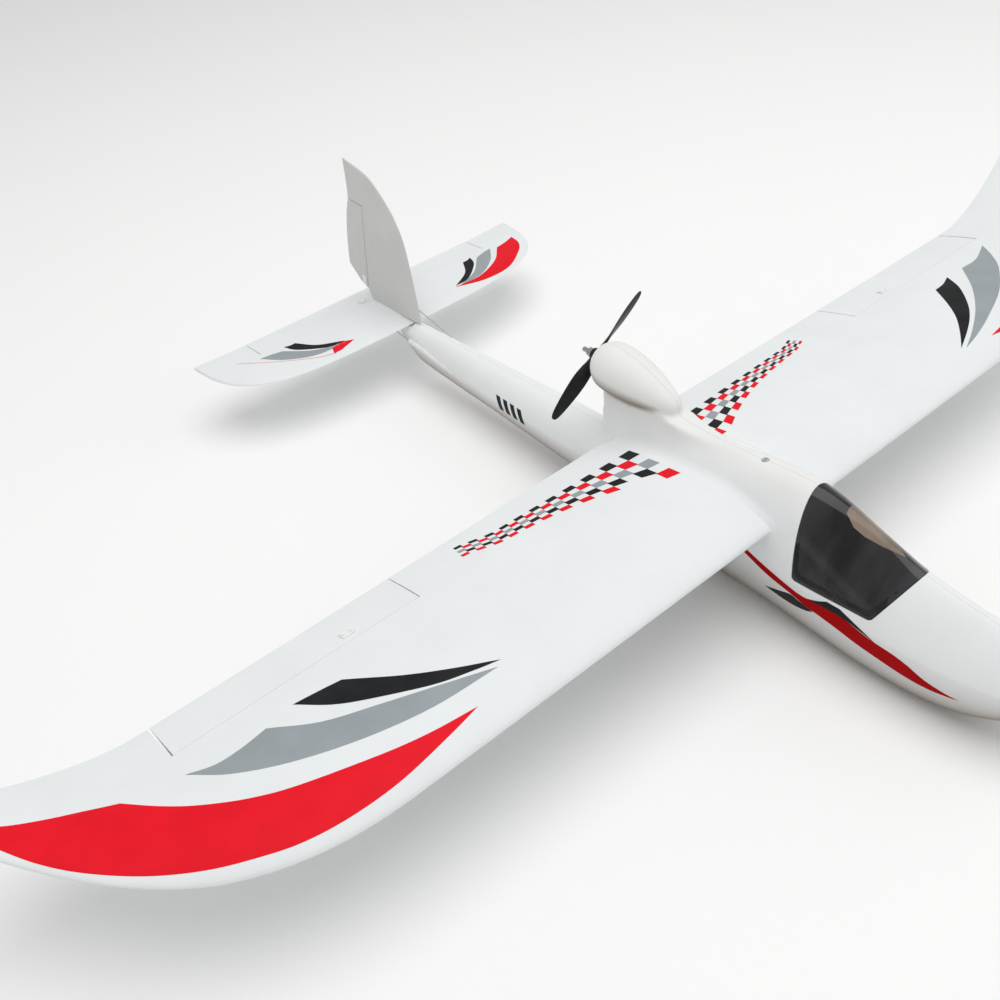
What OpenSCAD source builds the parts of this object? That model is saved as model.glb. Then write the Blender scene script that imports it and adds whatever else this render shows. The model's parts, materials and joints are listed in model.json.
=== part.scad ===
// Radio-controlled electric sailplane with a pusher motor pod, moulded foam airframe.
// +X is the left (port) wing, -Y the nose, +Z up. The belly rests at z = 0.

/* [Wing] */
// Half of the wing span
half_span = 700; // [680:5:720]
// Chord of the wing at its root
root_chord = 204; // [196:1:210]
// Leading edge of the wing, measured along the fuselage
wing_le_y = -214; // [-220:1:-208]
// Height of the leading edge above the belly
wing_z = 106; // [103:1:109]
// Drop of the trailing edge below the leading edge
wing_drop = 11; // [8:1:14]
// Thickness of the wing section as a share of its chord
wing_thick = 0.1; // [0.09:0.01:0.12]
// Height that the curved tip gains
tip_rise = 42; // [30:1:50]

/* [Ailerons] */
// Inner end of each aileron
aileron_in = 294; // [285:1:305]
// Outer end of each aileron
aileron_out = 524; // [500:1:530]
// Hinge line of the ailerons
aileron_y = -61; // [-64:1:-58]
// Where the aileron servo and horn sit along the span
aileron_servo_x = 360; // [350:1:380]

/* [Tail] */
// Half of the span of the stabilizer
stab_half = 237; // [225:1:245]
// Mid height of the stabilizer
stab_z = 76; // [76:1:76]
// Thickness of the stabilizer and elevator
stab_thick = 7; // [6:0.5:8]
// Hinge line of the elevator
elevator_y = 422; // [420:1:424]
// Half of the span of the elevator
elevator_half = 169; // [160:1:175]

/* [Fuselage] */
// Foam wall of the pod
pod_wall = 6; // [5:0.5:7]
// Foam wall of the tail boom
boom_wall = 4; // [3.5:0.5:5]

/* [Power] */
// Height of the motor axis
motor_z = 163; // [162:1:164]
// Radius of the propeller
prop_radius = 75; // [65:1:76]
// Angle of the parked propeller above the wing line
prop_park = 35; // [0:5:60]
// Radius of the motor can
can_radius = 12; // [11.5:0.5:12]

/* [Linkage] */
// Gap left at every moulded hinge
hinge_gap = 1; // [0.8:0.1:1.4]
// Length of the aileron servo arm and of its horn
aileron_arm = 16; // [15:0.5:17]
// Length of the tail servo arms and of their horns
tail_arm = 12; // [11:0.5:12]
// Radius of the steel pushrods
rod_r = 0.6; // [0.5:0.05:0.7]

/* [Hidden] */
$fn = 32;

// Fuselage sections: [y, half width, top, bottom, height of the widest point]
BODY = [
    [-470, 2, 74, 67, 70.5], [-467, 9, 81, 60, 70], [-458, 17, 90, 49, 69],
    [-440, 24, 98.5, 32, 67], [-405, 31, 106, 11, 64], [-370, 34.5, 110.5, 1, 62],
    [-335, 36.5, 117, -2.5, 62], [-290, 37.5, 134, -2.5, 64], [-240, 38, 147, -2.5, 66],
    [-200, 37.5, 147, -2.5, 68], [-150, 36, 141.5, -2.5, 69], [-100, 34, 136, -1, 68],
    [-60, 32, 128, 2, 66], [-28, 29.8, 112, 5.5, 62], [2, 28.3, 91, 9, 57], [20, 27.4, 84.5, 10.5, 55],
    [80, 25, 83.4, 14.5, 53], [130, 23.5, 82, 18, 52.6], [190, 21.3, 80.3, 21.5, 52.2],
    [270, 17.2, 78.8, 23.5, 53], [330, 14, 77, 27, 55], [346, 12.5, 76, 36, 58], [358, 11, 75, 48, 62],
    [366, 9, 74, 56, 64], [374, 5, 72, 62, 66]
];
// Stations where the fuselage skin is drawn
BODY_Y = [
    -470, -467, -463, -458, -450, -440, -424, -405, -388, -370, -352, -335, -312, -290, -265,
    -240, -220, -200, -175, -150, -125, -100, -80, -60, -44, -28, -12, 2, 20, 50, 90, 130, 170,
    210, 250, 290, 320, 334, 344, 352, 360, 366, 371, 374
];
// Side profile of the canopy opening: [y, z]
HATCH = [[-242, 71], [-231, 160], [-363, 160], [-318, 73]];
// Pod saddle: [y, half width at the fuselage, half width at the top, height of the top]
SADDLE = [
    [-168, 9, 1, 145.6], [-150, 18, 5, 143.6], [-125, 22.5, 9, 141.5], [-100, 24, 12, 141.5],
    [-80, 24.5, 14, 143], [-60, 24.5, 13, 146], [-40, 22, 13, 146], [-20, 19.5, 13, 146],
    [0, 17, 11, 146], [12, 14, 9, 147]
];
// Motor pod sections: [y, centre below the motor axis, half width, reach up, reach down]
POD = [
    [-78, 15, 0.5, 0.5, 0.5], [-77, 15, 5, 5, 5], [-74, 14, 8.5, 8.5, 8], [-68, 12.5, 11.8, 11.8, 10.8],
    [-58, 10.5, 15.2, 15.4, 14.2], [-45, 8, 19, 19, 18], [-28, 5.5, 22.5, 22.5, 22],
    [-12, 3.5, 24.3, 24, 24.5], [2, 2.5, 24.8, 24.3, 25], [12, 2, 23, 22.3, 24],
    [18, 1.5, 19.5, 18.8, 22], [21, 1, 17, 16.3, 20]
];
// Fin: [height, leading edge, trailing edge, thickness]
FIN = [
    [79.6, 331, 472, 9], [110, 333, 471, 8.4], [150, 337, 464.5, 7.4], [183, 342.5, 455.5, 6.4],
    [204, 352, 446.5, 5.6], [213, 358, 444.5, 5.2], [235, 380, 442.5, 4], [248, 403, 442.2, 3],
    [255, 440, 442, 1.6]
];
FIN_Z = [79.6, 95, 110, 130, 150, 167, 183, 194, 204, 213, 224, 235, 242, 248, 252, 255];
// Rudder outline: [y, z] of its lower and rear corners
rudder_foot = [[431.2, 90.5], [449, 96.5], [474, 116]];
rudder_top = 204.3;
// Stabilizer: [distance from the centre, leading edge]
STAB = [
    [0, 344], [60, 344.4], [120, 347], [165, 354], [stab_half - 37, 370], [stab_half - 15, 392],
    [stab_half - 4, 420], [stab_half, 452]
];

// Where the pod wall ends and the thinner boom wall starts
wall_switch_y = 20;
// Spar tube and rear pin: radius, place, and half of their length
spar_r = 4;
spar_y = -150;
spar_z = 107;
spar_half = 300;
pin_r = 2;
pin_y = -80;
pin_z = 103.5;
pin_half = 75;
// Inner end of the wing panels
root_x = 36;
// Clearance of the spar tube, the pin and the bolt in their holes
joint_gap = 0.03;
bolt_y = -178;
bolt_r = 1.5;
bolt_seat_z = 142;
bolt_head_r = 3;
// Half width of the tools that cut the fuselage right across
cut = 60;
// Distance along the wing where the leading edge sweeps back, and where the tip starts to rise
sweep_x = 400;
rise_x = 540;
// Bevel of each hinged edge, in degrees
hinge_bevel = 28;

// Clearance of the pushrods in the servo arms, and of the arms on the servo shafts
rod_gap = 0.05;
servo_shaft_r = 2.2;
// Hinge axes as [y, z], and the pins and servo shafts of the linkages as [x, y, z]
aileron_h = [aileron_y + hinge_gap / 2, wing_top(aileron_servo_x, aileron_y)];
elevator_h = [elevator_y + hinge_gap / 2, stab_z + stab_thick / 2];
rudder_a = [414, 203];
rudder_b = [431, 90];
rudder_hole_z = 101;
rudder_tilt = atan2(rudder_b[0] - rudder_a[0], rudder_a[1] - rudder_b[1]);
rudder_hole = [tail_arm, rudder_b[0] - (rudder_hole_z - rudder_b[1]) * tan(rudder_tilt), rudder_hole_z];
rudder_shaft = [8, -75, 46];
elevator_hole = [-15.5, elevator_h[0], elevator_h[1] - tail_arm];
elevator_shaft = [-17, -110, 41];
aileron_shaft = [aileron_servo_x, -124, aileron_h[1]];

// ---------- curves and lofts ----------

function segment(t, v, i = 0) = i >= len(t) - 2 || v <= t[i + 1][0] ? i : segment(t, v, i + 1);
function slope(t, k, i) = let (a = t[max(i - 1, 0)], b = t[min(i + 1, len(t) - 1)])
    (b[k] - a[k]) / (b[0] - a[0]);
// Smooth value of column k of table t at v
function curve(t, v, k) = let (
    i = segment(t, v), p = t[i], q = t[i + 1], h = q[0] - p[0], u = (v - p[0]) / h,
    m = slope(t, k, i) * h, n = slope(t, k, i + 1) * h
) (2 * u ^ 3 - 3 * u ^ 2 + 1) * p[k] + (u ^ 3 - 2 * u ^ 2 + u) * m
    + (3 * u ^ 2 - 2 * u ^ 3) * q[k] + (u ^ 3 - u ^ 2) * n;

// Solid through rings of points. Each ring is a chain out and a chain back of equal length.
module loft(rings) {
    n = len(rings);
    m = len(rings[0]);
    h = m / 2;
    sides = [for (i = [0 : n - 2]) for (j = [0 : m - 1]) let (k = (j + 1) % m)
        each [[i * m + j, (i + 1) * m + k, i * m + k], [i * m + j, (i + 1) * m + j, (i + 1) * m + k]]];
    first = [for (j = [0 : h - 2]) each [[j, m - 2 - j, m - 1 - j], [j, j + 1, m - 2 - j]]];
    last = [for (f = first) [for (v = [2, 1, 0]) f[v] + (n - 1) * m]];
    polyhedron([for (r = rings) each r], concat(sides, first, last));
}

// Prism along X from x = a to x = b with its outline in [y, z]
module side_prism(a, b, outline) {
    translate([a, 0, 0]) rotate([90, 0, 90]) linear_extrude(b - a) polygon(outline);
}

// Cylinder along X, Y or between two points
module rod_x(a, b, y, z, r) { translate([a, y, z]) rotate([0, 90, 0]) cylinder(h = b - a, r = r); }
module rod_y(a, b, x, z, r) { translate([x, a, z]) rotate([-90, 0, 0]) cylinder(h = b - a, r = r); }
module rod_between(p, q, r) {
    d = q - p;
    translate(p) rotate([0, acos(d[2] / norm(d)), atan2(d[1], d[0])]) cylinder(h = norm(d), r = r);
}

// ---------- fuselage ----------

function wall_at(y) = y < -100 ? pod_wall : y > wall_switch_y ? boom_wall
    : pod_wall + (boom_wall - pod_wall) * (y + 100) / (wall_switch_y + 100);
function shrink(v, w) = max(v - w, 0.3 * v);
// Sharpness of the section above (roof) and below (keel) its widest point, 1 for an ellipse
function roof(y) = 1 + 0.4 * min(1, max(0, (-220 - y) / 70));
function keel(y) = min(1, max(0.75, 0.75 + (y + 300) / 320));
// Point of the fuselage skin at station y and angle t (90 top, -90 belly), w inside the skin
function body_point(y, t, w = 0) = let (
    a = shrink(curve(BODY, y, 1), w), zm = curve(BODY, y, 4),
    up = shrink(curve(BODY, y, 2) - zm, w), down = shrink(zm - curve(BODY, y, 3), w)
) t >= 0 ? [a * cos(t) ^ roof(y), y, zm + up * sin(t) ^ roof(y)]
    : [a * cos(t) ^ keel(y), y, max(w, zm - down * abs(sin(t)) ^ (0.4 + 0.6 * keel(y)))];
// Height of the upper skin at [x, y]
function body_top(x, y) = let (a = curve(BODY, y, 1), zm = curve(BODY, y, 4))
    zm + (curve(BODY, y, 2) - zm) * sqrt(1 - (x / a) ^ 2);
// Half width of the skin at height z above the widest point
function body_side(y, z) = let (
    zm = curve(BODY, y, 4), t = asin(((z - zm) / (curve(BODY, y, 2) - zm)) ^ (1 / roof(y)))
) curve(BODY, y, 1) * cos(t) ^ roof(y);
ANGLES = [90, 76, 62, 48, 34, 20, 6, -12, -30, -46, -60, -72, -82, -90];

module half_shell() {
    loft([for (y = BODY_Y) concat(
        [for (t = ANGLES) body_point(y, t)],
        [for (i = [len(ANGLES) - 1 : -1 : 0]) body_point(y, ANGLES[i], wall_at(y))])]);
}

module whole_skin(w) {
    loft([for (y = BODY_Y) concat(
        [for (t = ANGLES) body_point(y, t, w)],
        [for (i = [len(ANGLES) - 1 : -1 : 0]) let (p = body_point(y, min(max(ANGLES[i], -86), 84), w))
            [-p[0], p[1], p[2]]])]);
}

module hatch_prism(gap) {
    side_prism(-cut, cut, [HATCH[0] + [-gap, gap], HATCH[1] + [-gap, 0], HATCH[2] + [gap, 0],
        HATCH[3] + [gap, gap]]);
}

module wing_stub() {
    loft([for (x = [14, root_x]) wing_ring(x)]);
}

module pushrod_bores() {
    rod_between(at_y(elevator_path, -90), elevator_kink, tube_r + tube_gap);
    rod_between(elevator_kink - [0, 0.5, 0], elevator_route[2], tube_r + tube_gap);
    rod_between(at_y(rudder_path, -45), rudder_kink, tube_r + tube_gap);
    rod_between(rudder_kink - [0, 8, 0], rudder_hole, tube_r + 0.7);
}

module fuselage_half(side) {
    color("whitesmoke") difference() {
        mirror([side < 0 ? 1 : 0, 0, 0]) union() {
            half_shell();
            wing_stub();
        }
        hatch_prism(0);
        rod_x(-cut, cut, spar_y, spar_z, spar_r + joint_gap);
        rod_x(-cut, cut, pin_y, pin_z, pin_r + joint_gap);
        translate([0, bolt_y, bolt_seat_z - 8]) cylinder(h = 30, r = bolt_r + 0.2);
        translate([0, bolt_y, bolt_seat_z]) cylinder(h = 12, r = bolt_head_r + 0.4);
        pushrod_bores();
        rod_between(wire_way, [0, -30, 140], 5);
        translate([-cut, 341.5, stab_z - stab_thick / 2 - 0.1]) cube([2 * cut, cut, 20]);
        magnets(-2.1, 3, magnet_r + 0.05);
    }
}
module fuselage_left() { fuselage_half(1); }
module fuselage_right() { fuselage_half(-1); }

pod_gap = 0.4;
// Where the motor wires enter the fuselage
wire_way = [0, -55, 118];
// Streamlined pod on a saddle that follows the fuselage top
module pod_saddle() {
    loft([for (s = SADDLE) let (y = s[0], b = s[1], m = s[2], edge = body_top(b, y) + 0.9) concat(
        [for (i = [0 : 7]) let (w = (i < 4 ? i : 7 - i) / 3, x = b + (m - b) * (1 - (1 - w) ^ 1.6))
            [i < 4 ? -x : x, y, max(edge + (s[3] - edge) * w, body_top(x, y) + 0.9)]],
        [for (i = [7 : -1 : 0]) let (x = -b + 2 * b * i / 7) [x, y, body_top(x, y) - 1]])]);
}
function pod_ring(p) = [for (i = [0 : 27]) let (t = 90 - (i + 0.5) * 360 / 28)
    [p[2] * cos(t), p[0], motor_z - p[1] + (t > 0 || t < -180 ? p[3] : p[4]) * sin(t)]];
module motor_pod() {
    color("white") difference() {
        union() {
            loft([for (p = POD) pod_ring(p)]);
            pod_saddle();
        }
        translate([0, 0, pod_gap]) whole_skin(0);
        for (z = [-pod_gap, pod_gap]) for (s = [0, 1]) translate([0, 0, z]) mirror([s, 0, 0]) wing_stub();
        rod_y(motor_y - 38, 30, 0, motor_z, can_radius + 1.5);
        rod_y(-50, -30, 0, motor_z - 6, 5);
        rod_between(wire_way, [0, -38, 160], 4);
    }
}

// ---------- canopy ----------

module canopy_shell() {
    color("dimgray") intersection() {
        difference() {
            whole_skin(0);
            whole_skin(1.4);
        }
        hatch_prism(0.4);
    }
}
module canopy_frame() {
    color("black") intersection() {
        difference() {
            whole_skin(1.6);
            whole_skin(5.4);
            side_prism(-cut, cut, [[-248, 79], [-241, 139], [-337, 115], [-314, 79]]);
            magnets(0, 2.55, magnet_r + 0.05);
        }
        hatch_prism(0.4);
    }
}
magnet_inset = 3.7;
magnet_y = [-247.5, -311];
magnet_r = 1.5;
// Four round magnets (or their pockets), z above the lower edge of the hatch
module magnets(z, h, r) {
    for (y = magnet_y) for (s = [-1, 1])
        translate([s * (body_side(y, hatch_edge(y) + 2) - magnet_inset), y, hatch_edge(y) + z])
            cylinder(h = h, r = r);
}
function hatch_edge(y) = HATCH[0][1]
    + (HATCH[3][1] - HATCH[0][1]) * (y - HATCH[0][0]) / (HATCH[3][0] - HATCH[0][0]);
module canopy_magnets() { color("silver") magnets(0.5, 2, magnet_r); }
module bay_magnets() { color("silver") magnets(-2.05, 2, magnet_r); }

// ---------- inside the pod ----------

tray_half = 18;
tray_z = 16;
tray_thick = 3;
battery = [34, 78, 24];
battery_at = [-battery[0] / 2, -345, tray_z + tray_thick];
strap_x = battery[0] / 2 + 0.85;
strap_y = -318;
strap_width = 16;
strap_thick = 1.5;
strap_gap = 0.1;
module battery_tray() {
    color("burlywood") difference() {
        translate([-tray_half, -350, tray_z]) cube([2 * tray_half, 143, tray_thick]);
        for (x = [-strap_x, strap_x])
            translate([x - 1.1, strap_y - 1.5, 10]) cube([2.2, strap_width + 3, 12]);
    }
}
module battery_pack() {
    color("royalblue") translate(battery_at) union() {
        cube(battery);
        translate([9, battery[1], 6]) cube([16, 8, 8]);
    }
}
module battery_strap() {
    inner = [battery[0] + 2 * strap_gap, strap_width + 24, tray_thick + battery[2] + 2 * strap_gap];
    outer = [inner[0] + 2 * strap_thick, strap_width, inner[2] + 2 * strap_thick];
    color("black") difference() {
        translate([-outer[0] / 2, strap_y, tray_z - strap_gap - strap_thick]) cube(outer);
        translate([-inner[0] / 2, strap_y - 12, tray_z - strap_gap]) cube(inner);
    }
}
module speed_controller() {
    color("darkslategray") translate([-13, -252, tray_z + tray_thick]) union() {
        cube([26, 40, 9]);
        for (x = [5, 13, 21]) translate([x, 50, 4.5]) rotate([90, 0, 0]) cylinder(h = 12, r = 1.5);
    }
}
module receiver() {
    color("dimgray") translate([-11, -199, 10.5]) union() {
        cube([22, 42, 13]);
        for (i = [0 : 5]) translate([1.5 + 3.2 * i, 42, 3]) cube([2.6, 4, 7]);
    }
}
module servo_tray() {
    color("burlywood") difference() {
        union() {
            translate([-17.5, -132, 22]) cube([35, 70, 3]);
            for (y = [-131, -103.7]) translate([-10, y, 25]) cube([14, 3.5, 9.9]);
        }
        rudder_pose() translate([-6.3, -17.3, -30]) cube([12.6, 23.6, 30]);
    }
}
// Micro servo with its output shaft on the z axis, top of the case at z = 0
module servo() {
    translate([-6, -17, -22.5]) cube([12, 23, 19.5]);
    translate([-6, -17, -3]) cube([12, 23, 3]);
    translate([-6, -21.7, -6.5]) cube([12, 32.4, 2]);
    cylinder(h = 2, r = 5.6);
    cylinder(h = 4, r = servo_shaft_r);
}
module servo_arm(r, length) {
    difference() {
        union() {
            translate([0, 0, 2.2]) cylinder(h = 3.4, r = 3.4);
            translate([0, 0, 4]) hull() {
                cylinder(h = 1.6, r = 3);
                translate([length, 0, 0]) cylinder(h = 1.6, r = 1.9);
            }
        }
        translate([0, 0, 1]) cylinder(h = 3 + rod_gap, r = servo_shaft_r + rod_gap);
        translate([length, 0, 0]) cylinder(h = 8, r = r);
    }
}
module elevator_pose() {
    translate(elevator_shaft + [2.8, 0, 0]) rotate([0, -90, 0]) children();
}
module rudder_pose() {
    translate(rudder_shaft) rotate([rudder_tilt, 0, 0]) translate([0, 0, -6.8]) children();
}
module elevator_servo() {
    color("midnightblue") elevator_pose() servo();
}
module rudder_servo() {
    color("midnightblue") rudder_pose() servo();
}
module elevator_servo_arm() {
    color("white") elevator_pose() rotate([0, 0, 180]) servo_arm(rod_r + rod_gap, tail_arm);
}
module rudder_servo_arm() {
    color("white") rudder_pose() servo_arm(rod_r + rod_gap, tail_arm);
}

// ---------- tail linkage ----------

fork_length = 10.5;
tube_r = 3.1;
tube_bore = 2.6;
tube_gap = 0.05;
elevator_kink = [-16, 250, 50];
rudder_kink = [13.3, 270, 65];
elevator_path = [elevator_shaft - [0, 0, tail_arm], elevator_kink, elevator_hole];
elevator_route = [elevator_path[0], elevator_kink, elevator_hole - [0, fork_length, 0]];
rudder_path = [rudder_shaft + [tail_arm, 0, 0], rudder_kink, rudder_hole];
// Point at station y on the first or the second leg of a rod path
function at_y(path, y, i = 0) = path[i]
    + (path[i + 1] - path[i]) * (y - path[i][1]) / (path[i + 1][1] - path[i][1]);

module guide_tube(p, q) {
    u = (q - p) / norm(q - p);
    color("ivory") difference() {
        rod_between(p, q, tube_r);
        rod_between(p - u, q + u, tube_bore);
    }
}
module elevator_guide_tube() {
    guide_tube(at_y(elevator_path, -84), at_y(elevator_path, 249));
    guide_tube(at_y(elevator_route, 251, 1), at_y(elevator_route, 338, 1));
}
module rudder_guide_tube() { guide_tube(at_y(rudder_path, -40), at_y(rudder_path, 258)); }

// Wire from p to q that stops just short of both, where an elbow or a fork takes over
module wire(p, q) {
    u = (q - p) / norm(q - p) * 0.3;
    rod_between(p + u, q - u, rod_r);
}
// Steel rod with a bent end through the servo arm and a clevis pin at the horn
module pushrod(path, pin) {
    last = len(path) - 1;
    fork = path[last] - fork_length * [0, pin[2] == 0 ? 1 : pin[2], -pin[1]];
    color("silver") union() {
        for (i = [0 : last - 1]) {
            wire(path[i], i == last - 1 ? fork : path[i + 1]);
            translate(path[i]) sphere(r = rod_r + 0.35, $fn = 24);
        }
        rod_between(path[0] - pin * 3.6, path[0] - pin * (rod_r + rod_gap), rod_r);
        rod_between(path[last] - pin * 2.6, path[last] + pin * 2.6, rod_r);
        translate(path[last]) rotate(pin[2] == 0 ? [0, 90, 0] : [rudder_tilt, 0, 0]) clevis();
    }
}
// Forked end, pin along Z, whose two cheeks stand beside a 1.6 mm horn
module clevis() {
    for (z = [-1.6, 1.6]) translate([0, -4.5, z]) cube([3, 13, 1], center = true);
    translate([0, -fork_length, 0]) cube([3, 5, 4.2], center = true);
}
module elevator_pushrod() { pushrod(elevator_path, [1, 0, 0]); }
module rudder_pushrod() { pushrod(rudder_path, [0, -sin(rudder_tilt), cos(rudder_tilt)]); }

// ---------- wing ----------

// How far the leading and the trailing edge swing back at the tip
le_swing = 227;
te_swing = 30;
function wing_le(x) = wing_le_y
    + (x > sweep_x ? le_swing * ((x - sweep_x) / (half_span - sweep_x)) ^ 2.6 : 0);
function wing_te(x) = wing_le_y + root_chord - 3 * min(x / sweep_x, 1)
    + (x > rise_x ? te_swing * ((x - rise_x) / (half_span - rise_x)) ^ 1.3 : 0);
function wing_rise(x) = x > rise_x ? tip_rise * ((x - rise_x) / (half_span - rise_x)) ^ 1.8 : 0;
function wing_chord(x) = max(wing_te(x) - wing_le(x), 3);
// Half thickness and camber of the section at share c of the chord
function half_thick(c) = 5 * wing_thick
    * (0.2969 * sqrt(c) - 0.126 * c - 0.3516 * c ^ 2 + 0.2843 * c ^ 3 - 0.1036 * c ^ 4);
function camber(c) = c < 0.4 ? 0.035 / 0.16 * (0.8 * c - c ^ 2)
    : 0.035 / 0.36 * (0.2 + 0.8 * c - c ^ 2);
function wing_line(x, c) = wing_z + wing_rise(x)
    - wing_drop * (c * wing_chord(x) + wing_le(x) - wing_le_y) / root_chord;
function wing_point(x, c, s) = [x, wing_le(x) + c * wing_chord(x),
    wing_line(x, c) + wing_chord(x) * (camber(c) + s * half_thick(c)) + s * 0.6 * c];
function wing_top(x, y) = wing_point(x, (y - wing_le(x)) / wing_chord(x), 1)[2];
CHORD = [1, 0.74, 0.6, 0.48, 0.34, 0.22, 0.12, 0.05, 0.015, 0.002];
function wing_ring(x) = concat(
    [for (c = CHORD) wing_point(x, c, 1)],
    [for (i = [len(CHORD) - 1 : -1 : 0]) wing_point(x, CHORD[i], -1)]);
WING_X = [
    root_x, 160, 290, 400, 440, 475, 505, 530, 552, 575, 597, 618, 638,
    for (d = [44, 29, 17, 8, 2, 0]) half_span - d
];

module wing_solid() { loft([for (x = WING_X) wing_ring(x)]); }
module wing_panel() {
    x = aileron_servo_x;
    color("whitesmoke") difference() {
        wing_solid();
        side_prism(aileron_in - hinge_gap / 2, aileron_out + hinge_gap / 2,
            [[aileron_y, 130], [aileron_y, 60], [40, 60], [40, 130]]);
        rod_x(root_x - 1, spar_half + 1, spar_y, spar_z, spar_r + joint_gap);
        rod_x(root_x - 1, pin_half + 1, pin_y, pin_z, pin_r + joint_gap);
        translate([x - 30, -147, 80]) cube([34, 36, aileron_h[1] + 7 - 80]);
    }
}
module wing_left() { wing_panel(); }
module wing_right() { mirror([1, 0, 0]) wing_panel(); }

module aileron() {
    z = aileron_h[1];
    y = aileron_y + hinge_gap;
    color("whitesmoke") intersection() {
        wing_solid();
        side_prism(aileron_in + hinge_gap / 2, aileron_out - hinge_gap / 2,
            [[y, 130], [y, z - 1], [y + 16 * tan(hinge_bevel), z - 17], [40, z - 17], [40, 130]]);
    }
}
module aileron_left() { aileron(); }
module aileron_right() { mirror([1, 0, 0]) aileron(); }

module aileron_pose() {
    translate(aileron_shaft - [6.8, 0, 0]) rotate([0, 90, 0]) children();
}
module aileron_servo() { color("midnightblue") aileron_pose() servo(); }
module aileron_servo_left() { aileron_servo(); }
module aileron_servo_right() { mirror([1, 0, 0]) aileron_servo(); }
module aileron_servo_arm() { color("white") aileron_pose() servo_arm(rod_r + rod_gap, aileron_arm); }
module aileron_servo_arm_left() { aileron_servo_arm(); }
module aileron_servo_arm_right() { mirror([1, 0, 0]) aileron_servo_arm(); }

aileron_path = [aileron_shaft - [0, 0, aileron_arm],
    [aileron_servo_x, aileron_h[0], aileron_h[1] - aileron_arm]];
module aileron_pushrod() { pushrod(aileron_path, [1, 0, 0]); }
module aileron_pushrod_left() { aileron_pushrod(); }
module aileron_pushrod_right() { mirror([1, 0, 0]) aileron_pushrod(); }

// ---------- control horns ----------

// Horn plate 1.6 mm thick with its hole at the origin and its foot at [y, z] = foot
module horn(foot, size, hole_r) {
    rotate([90, 0, 90]) difference() {
        linear_extrude(1.6, center = true) hull() {
            circle(r = 2.2);
            translate([foot[0], foot[1] - 0.7]) square([size, 1.4], center = true);
        }
        cylinder(h = 4, r = hole_r, center = true);
    }
    translate([0, foot[0], foot[1] - 0.7]) cube([12, size, 1.4], center = true);
}
hole_r = rod_r + 0.1;
function aileron_foot() = [10.5, aileron_arm - aileron_depth];
aileron_depth = wing_top(aileron_servo_x, aileron_y) - wing_bottom(aileron_servo_x, aileron_y + 14) + 0.3;
function wing_bottom(x, y) = wing_point(x, (y - wing_le(x)) / wing_chord(x), -1)[2];
module aileron_horn() {
    color("ghostwhite") translate(aileron_path[1]) horn(aileron_foot(), 10, hole_r);
}
module aileron_horn_left() { aileron_horn(); }
module aileron_horn_right() { mirror([1, 0, 0]) aileron_horn(); }
// Back plate on the far skin with the heads of its two screws
module back_plate() {
    cube([12, 8, 1], center = true);
    for (x = [-3.5, 3.5]) translate([x, 0, 0.4]) cylinder(h = 1, r = 1.4);
}
module aileron_horn_plate() {
    y = aileron_path[1][1] + aileron_foot()[0];
    color("gainsboro") translate([aileron_servo_x, y, wing_top(aileron_servo_x, y) + 0.8])
        rotate([-atan(wing_drop / root_chord) - 5, 0, 0]) back_plate();
}
module aileron_horn_plate_left() { aileron_horn_plate(); }
module aileron_horn_plate_right() { mirror([1, 0, 0]) aileron_horn_plate(); }

module elevator_horn() {
    color("ghostwhite") translate(elevator_hole)
        horn([9, stab_z - stab_thick / 2 * 0.8 - elevator_hole[2]], 8, hole_r);
}
module elevator_horn_plate() {
    color("gainsboro") translate(elevator_hole + [0, 9, tail_arm - 0.35]) rotate([-3.3, 0, 0]) back_plate();
}
module rudder_horn() {
    color("ghostwhite") translate(rudder_hole) rotate([rudder_tilt, 0, 0]) rotate([0, -90, 0])
        horn([8, tail_arm - 3.4], 8, hole_r);
}
module rudder_horn_plate() {
    color("gainsboro") translate([-3.75, rudder_hole[1] + 8, rudder_hole[2]]) rotate([rudder_tilt, 0, 0])
        rotate([0, -90, 0]) rotate([-3.3, 0, 0]) back_plate();
}

// ---------- tail surfaces ----------

function stab_te(x) = 458 + (x < 165 ? 0 : 4 * ((x - 165) / (stab_half - 165)) ^ 2);
SLICE = [1, 0.85, 0.6, 0.35, 0.12, 0.02];
// Share of the full thickness at c of the chord
function slab(c) = min(1, sqrt(c * 6), 0.25 + (1 - c) * 1.875);
// Symmetric rounded section of the stabilizer at x
function stab_ring(x) = let (
    a = curve(STAB, abs(x), 1), b = stab_te(abs(x)), t = stab_thick / 2 * (abs(x) > stab_half - 12 ? 0.6 : 1)
) concat(
    [for (c = SLICE) [x, a + (b - a) * c, stab_z + t * slab(c)]],
    [for (i = [len(SLICE) - 1 : -1 : 0]) [x, a + (b - a) * SLICE[i], stab_z - t * slab(SLICE[i])]]);
STAB_X = [0, 60, 120, 150, for (d = [65, 49, 35, 24, 15, 8, 3, 0]) stab_half - d];
module stab_solid() {
    half = [for (i = [len(STAB_X) - 1 : -1 : 1]) -STAB_X[i]];
    loft([for (x = concat(half, STAB_X)) stab_ring(x)]);
}
module stabilizer() {
    color("whitesmoke") difference() {
        stab_solid();
        side_prism(-elevator_half - hinge_gap / 2, elevator_half + hinge_gap / 2,
            [[elevator_y, 100], [elevator_y, 60], [480, 60], [480, 100]]);
    }
}
module elevator() {
    z = elevator_h[1];
    y = elevator_y + hinge_gap;
    color("whitesmoke") intersection() {
        stab_solid();
        side_prism(-elevator_half + hinge_gap / 2, elevator_half - hinge_gap / 2,
            [[y, z + 5], [y, z - 1], [y + 12 * tan(hinge_bevel), z - 13], [480, z - 13], [480, z + 5]]);
    }
}

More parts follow.
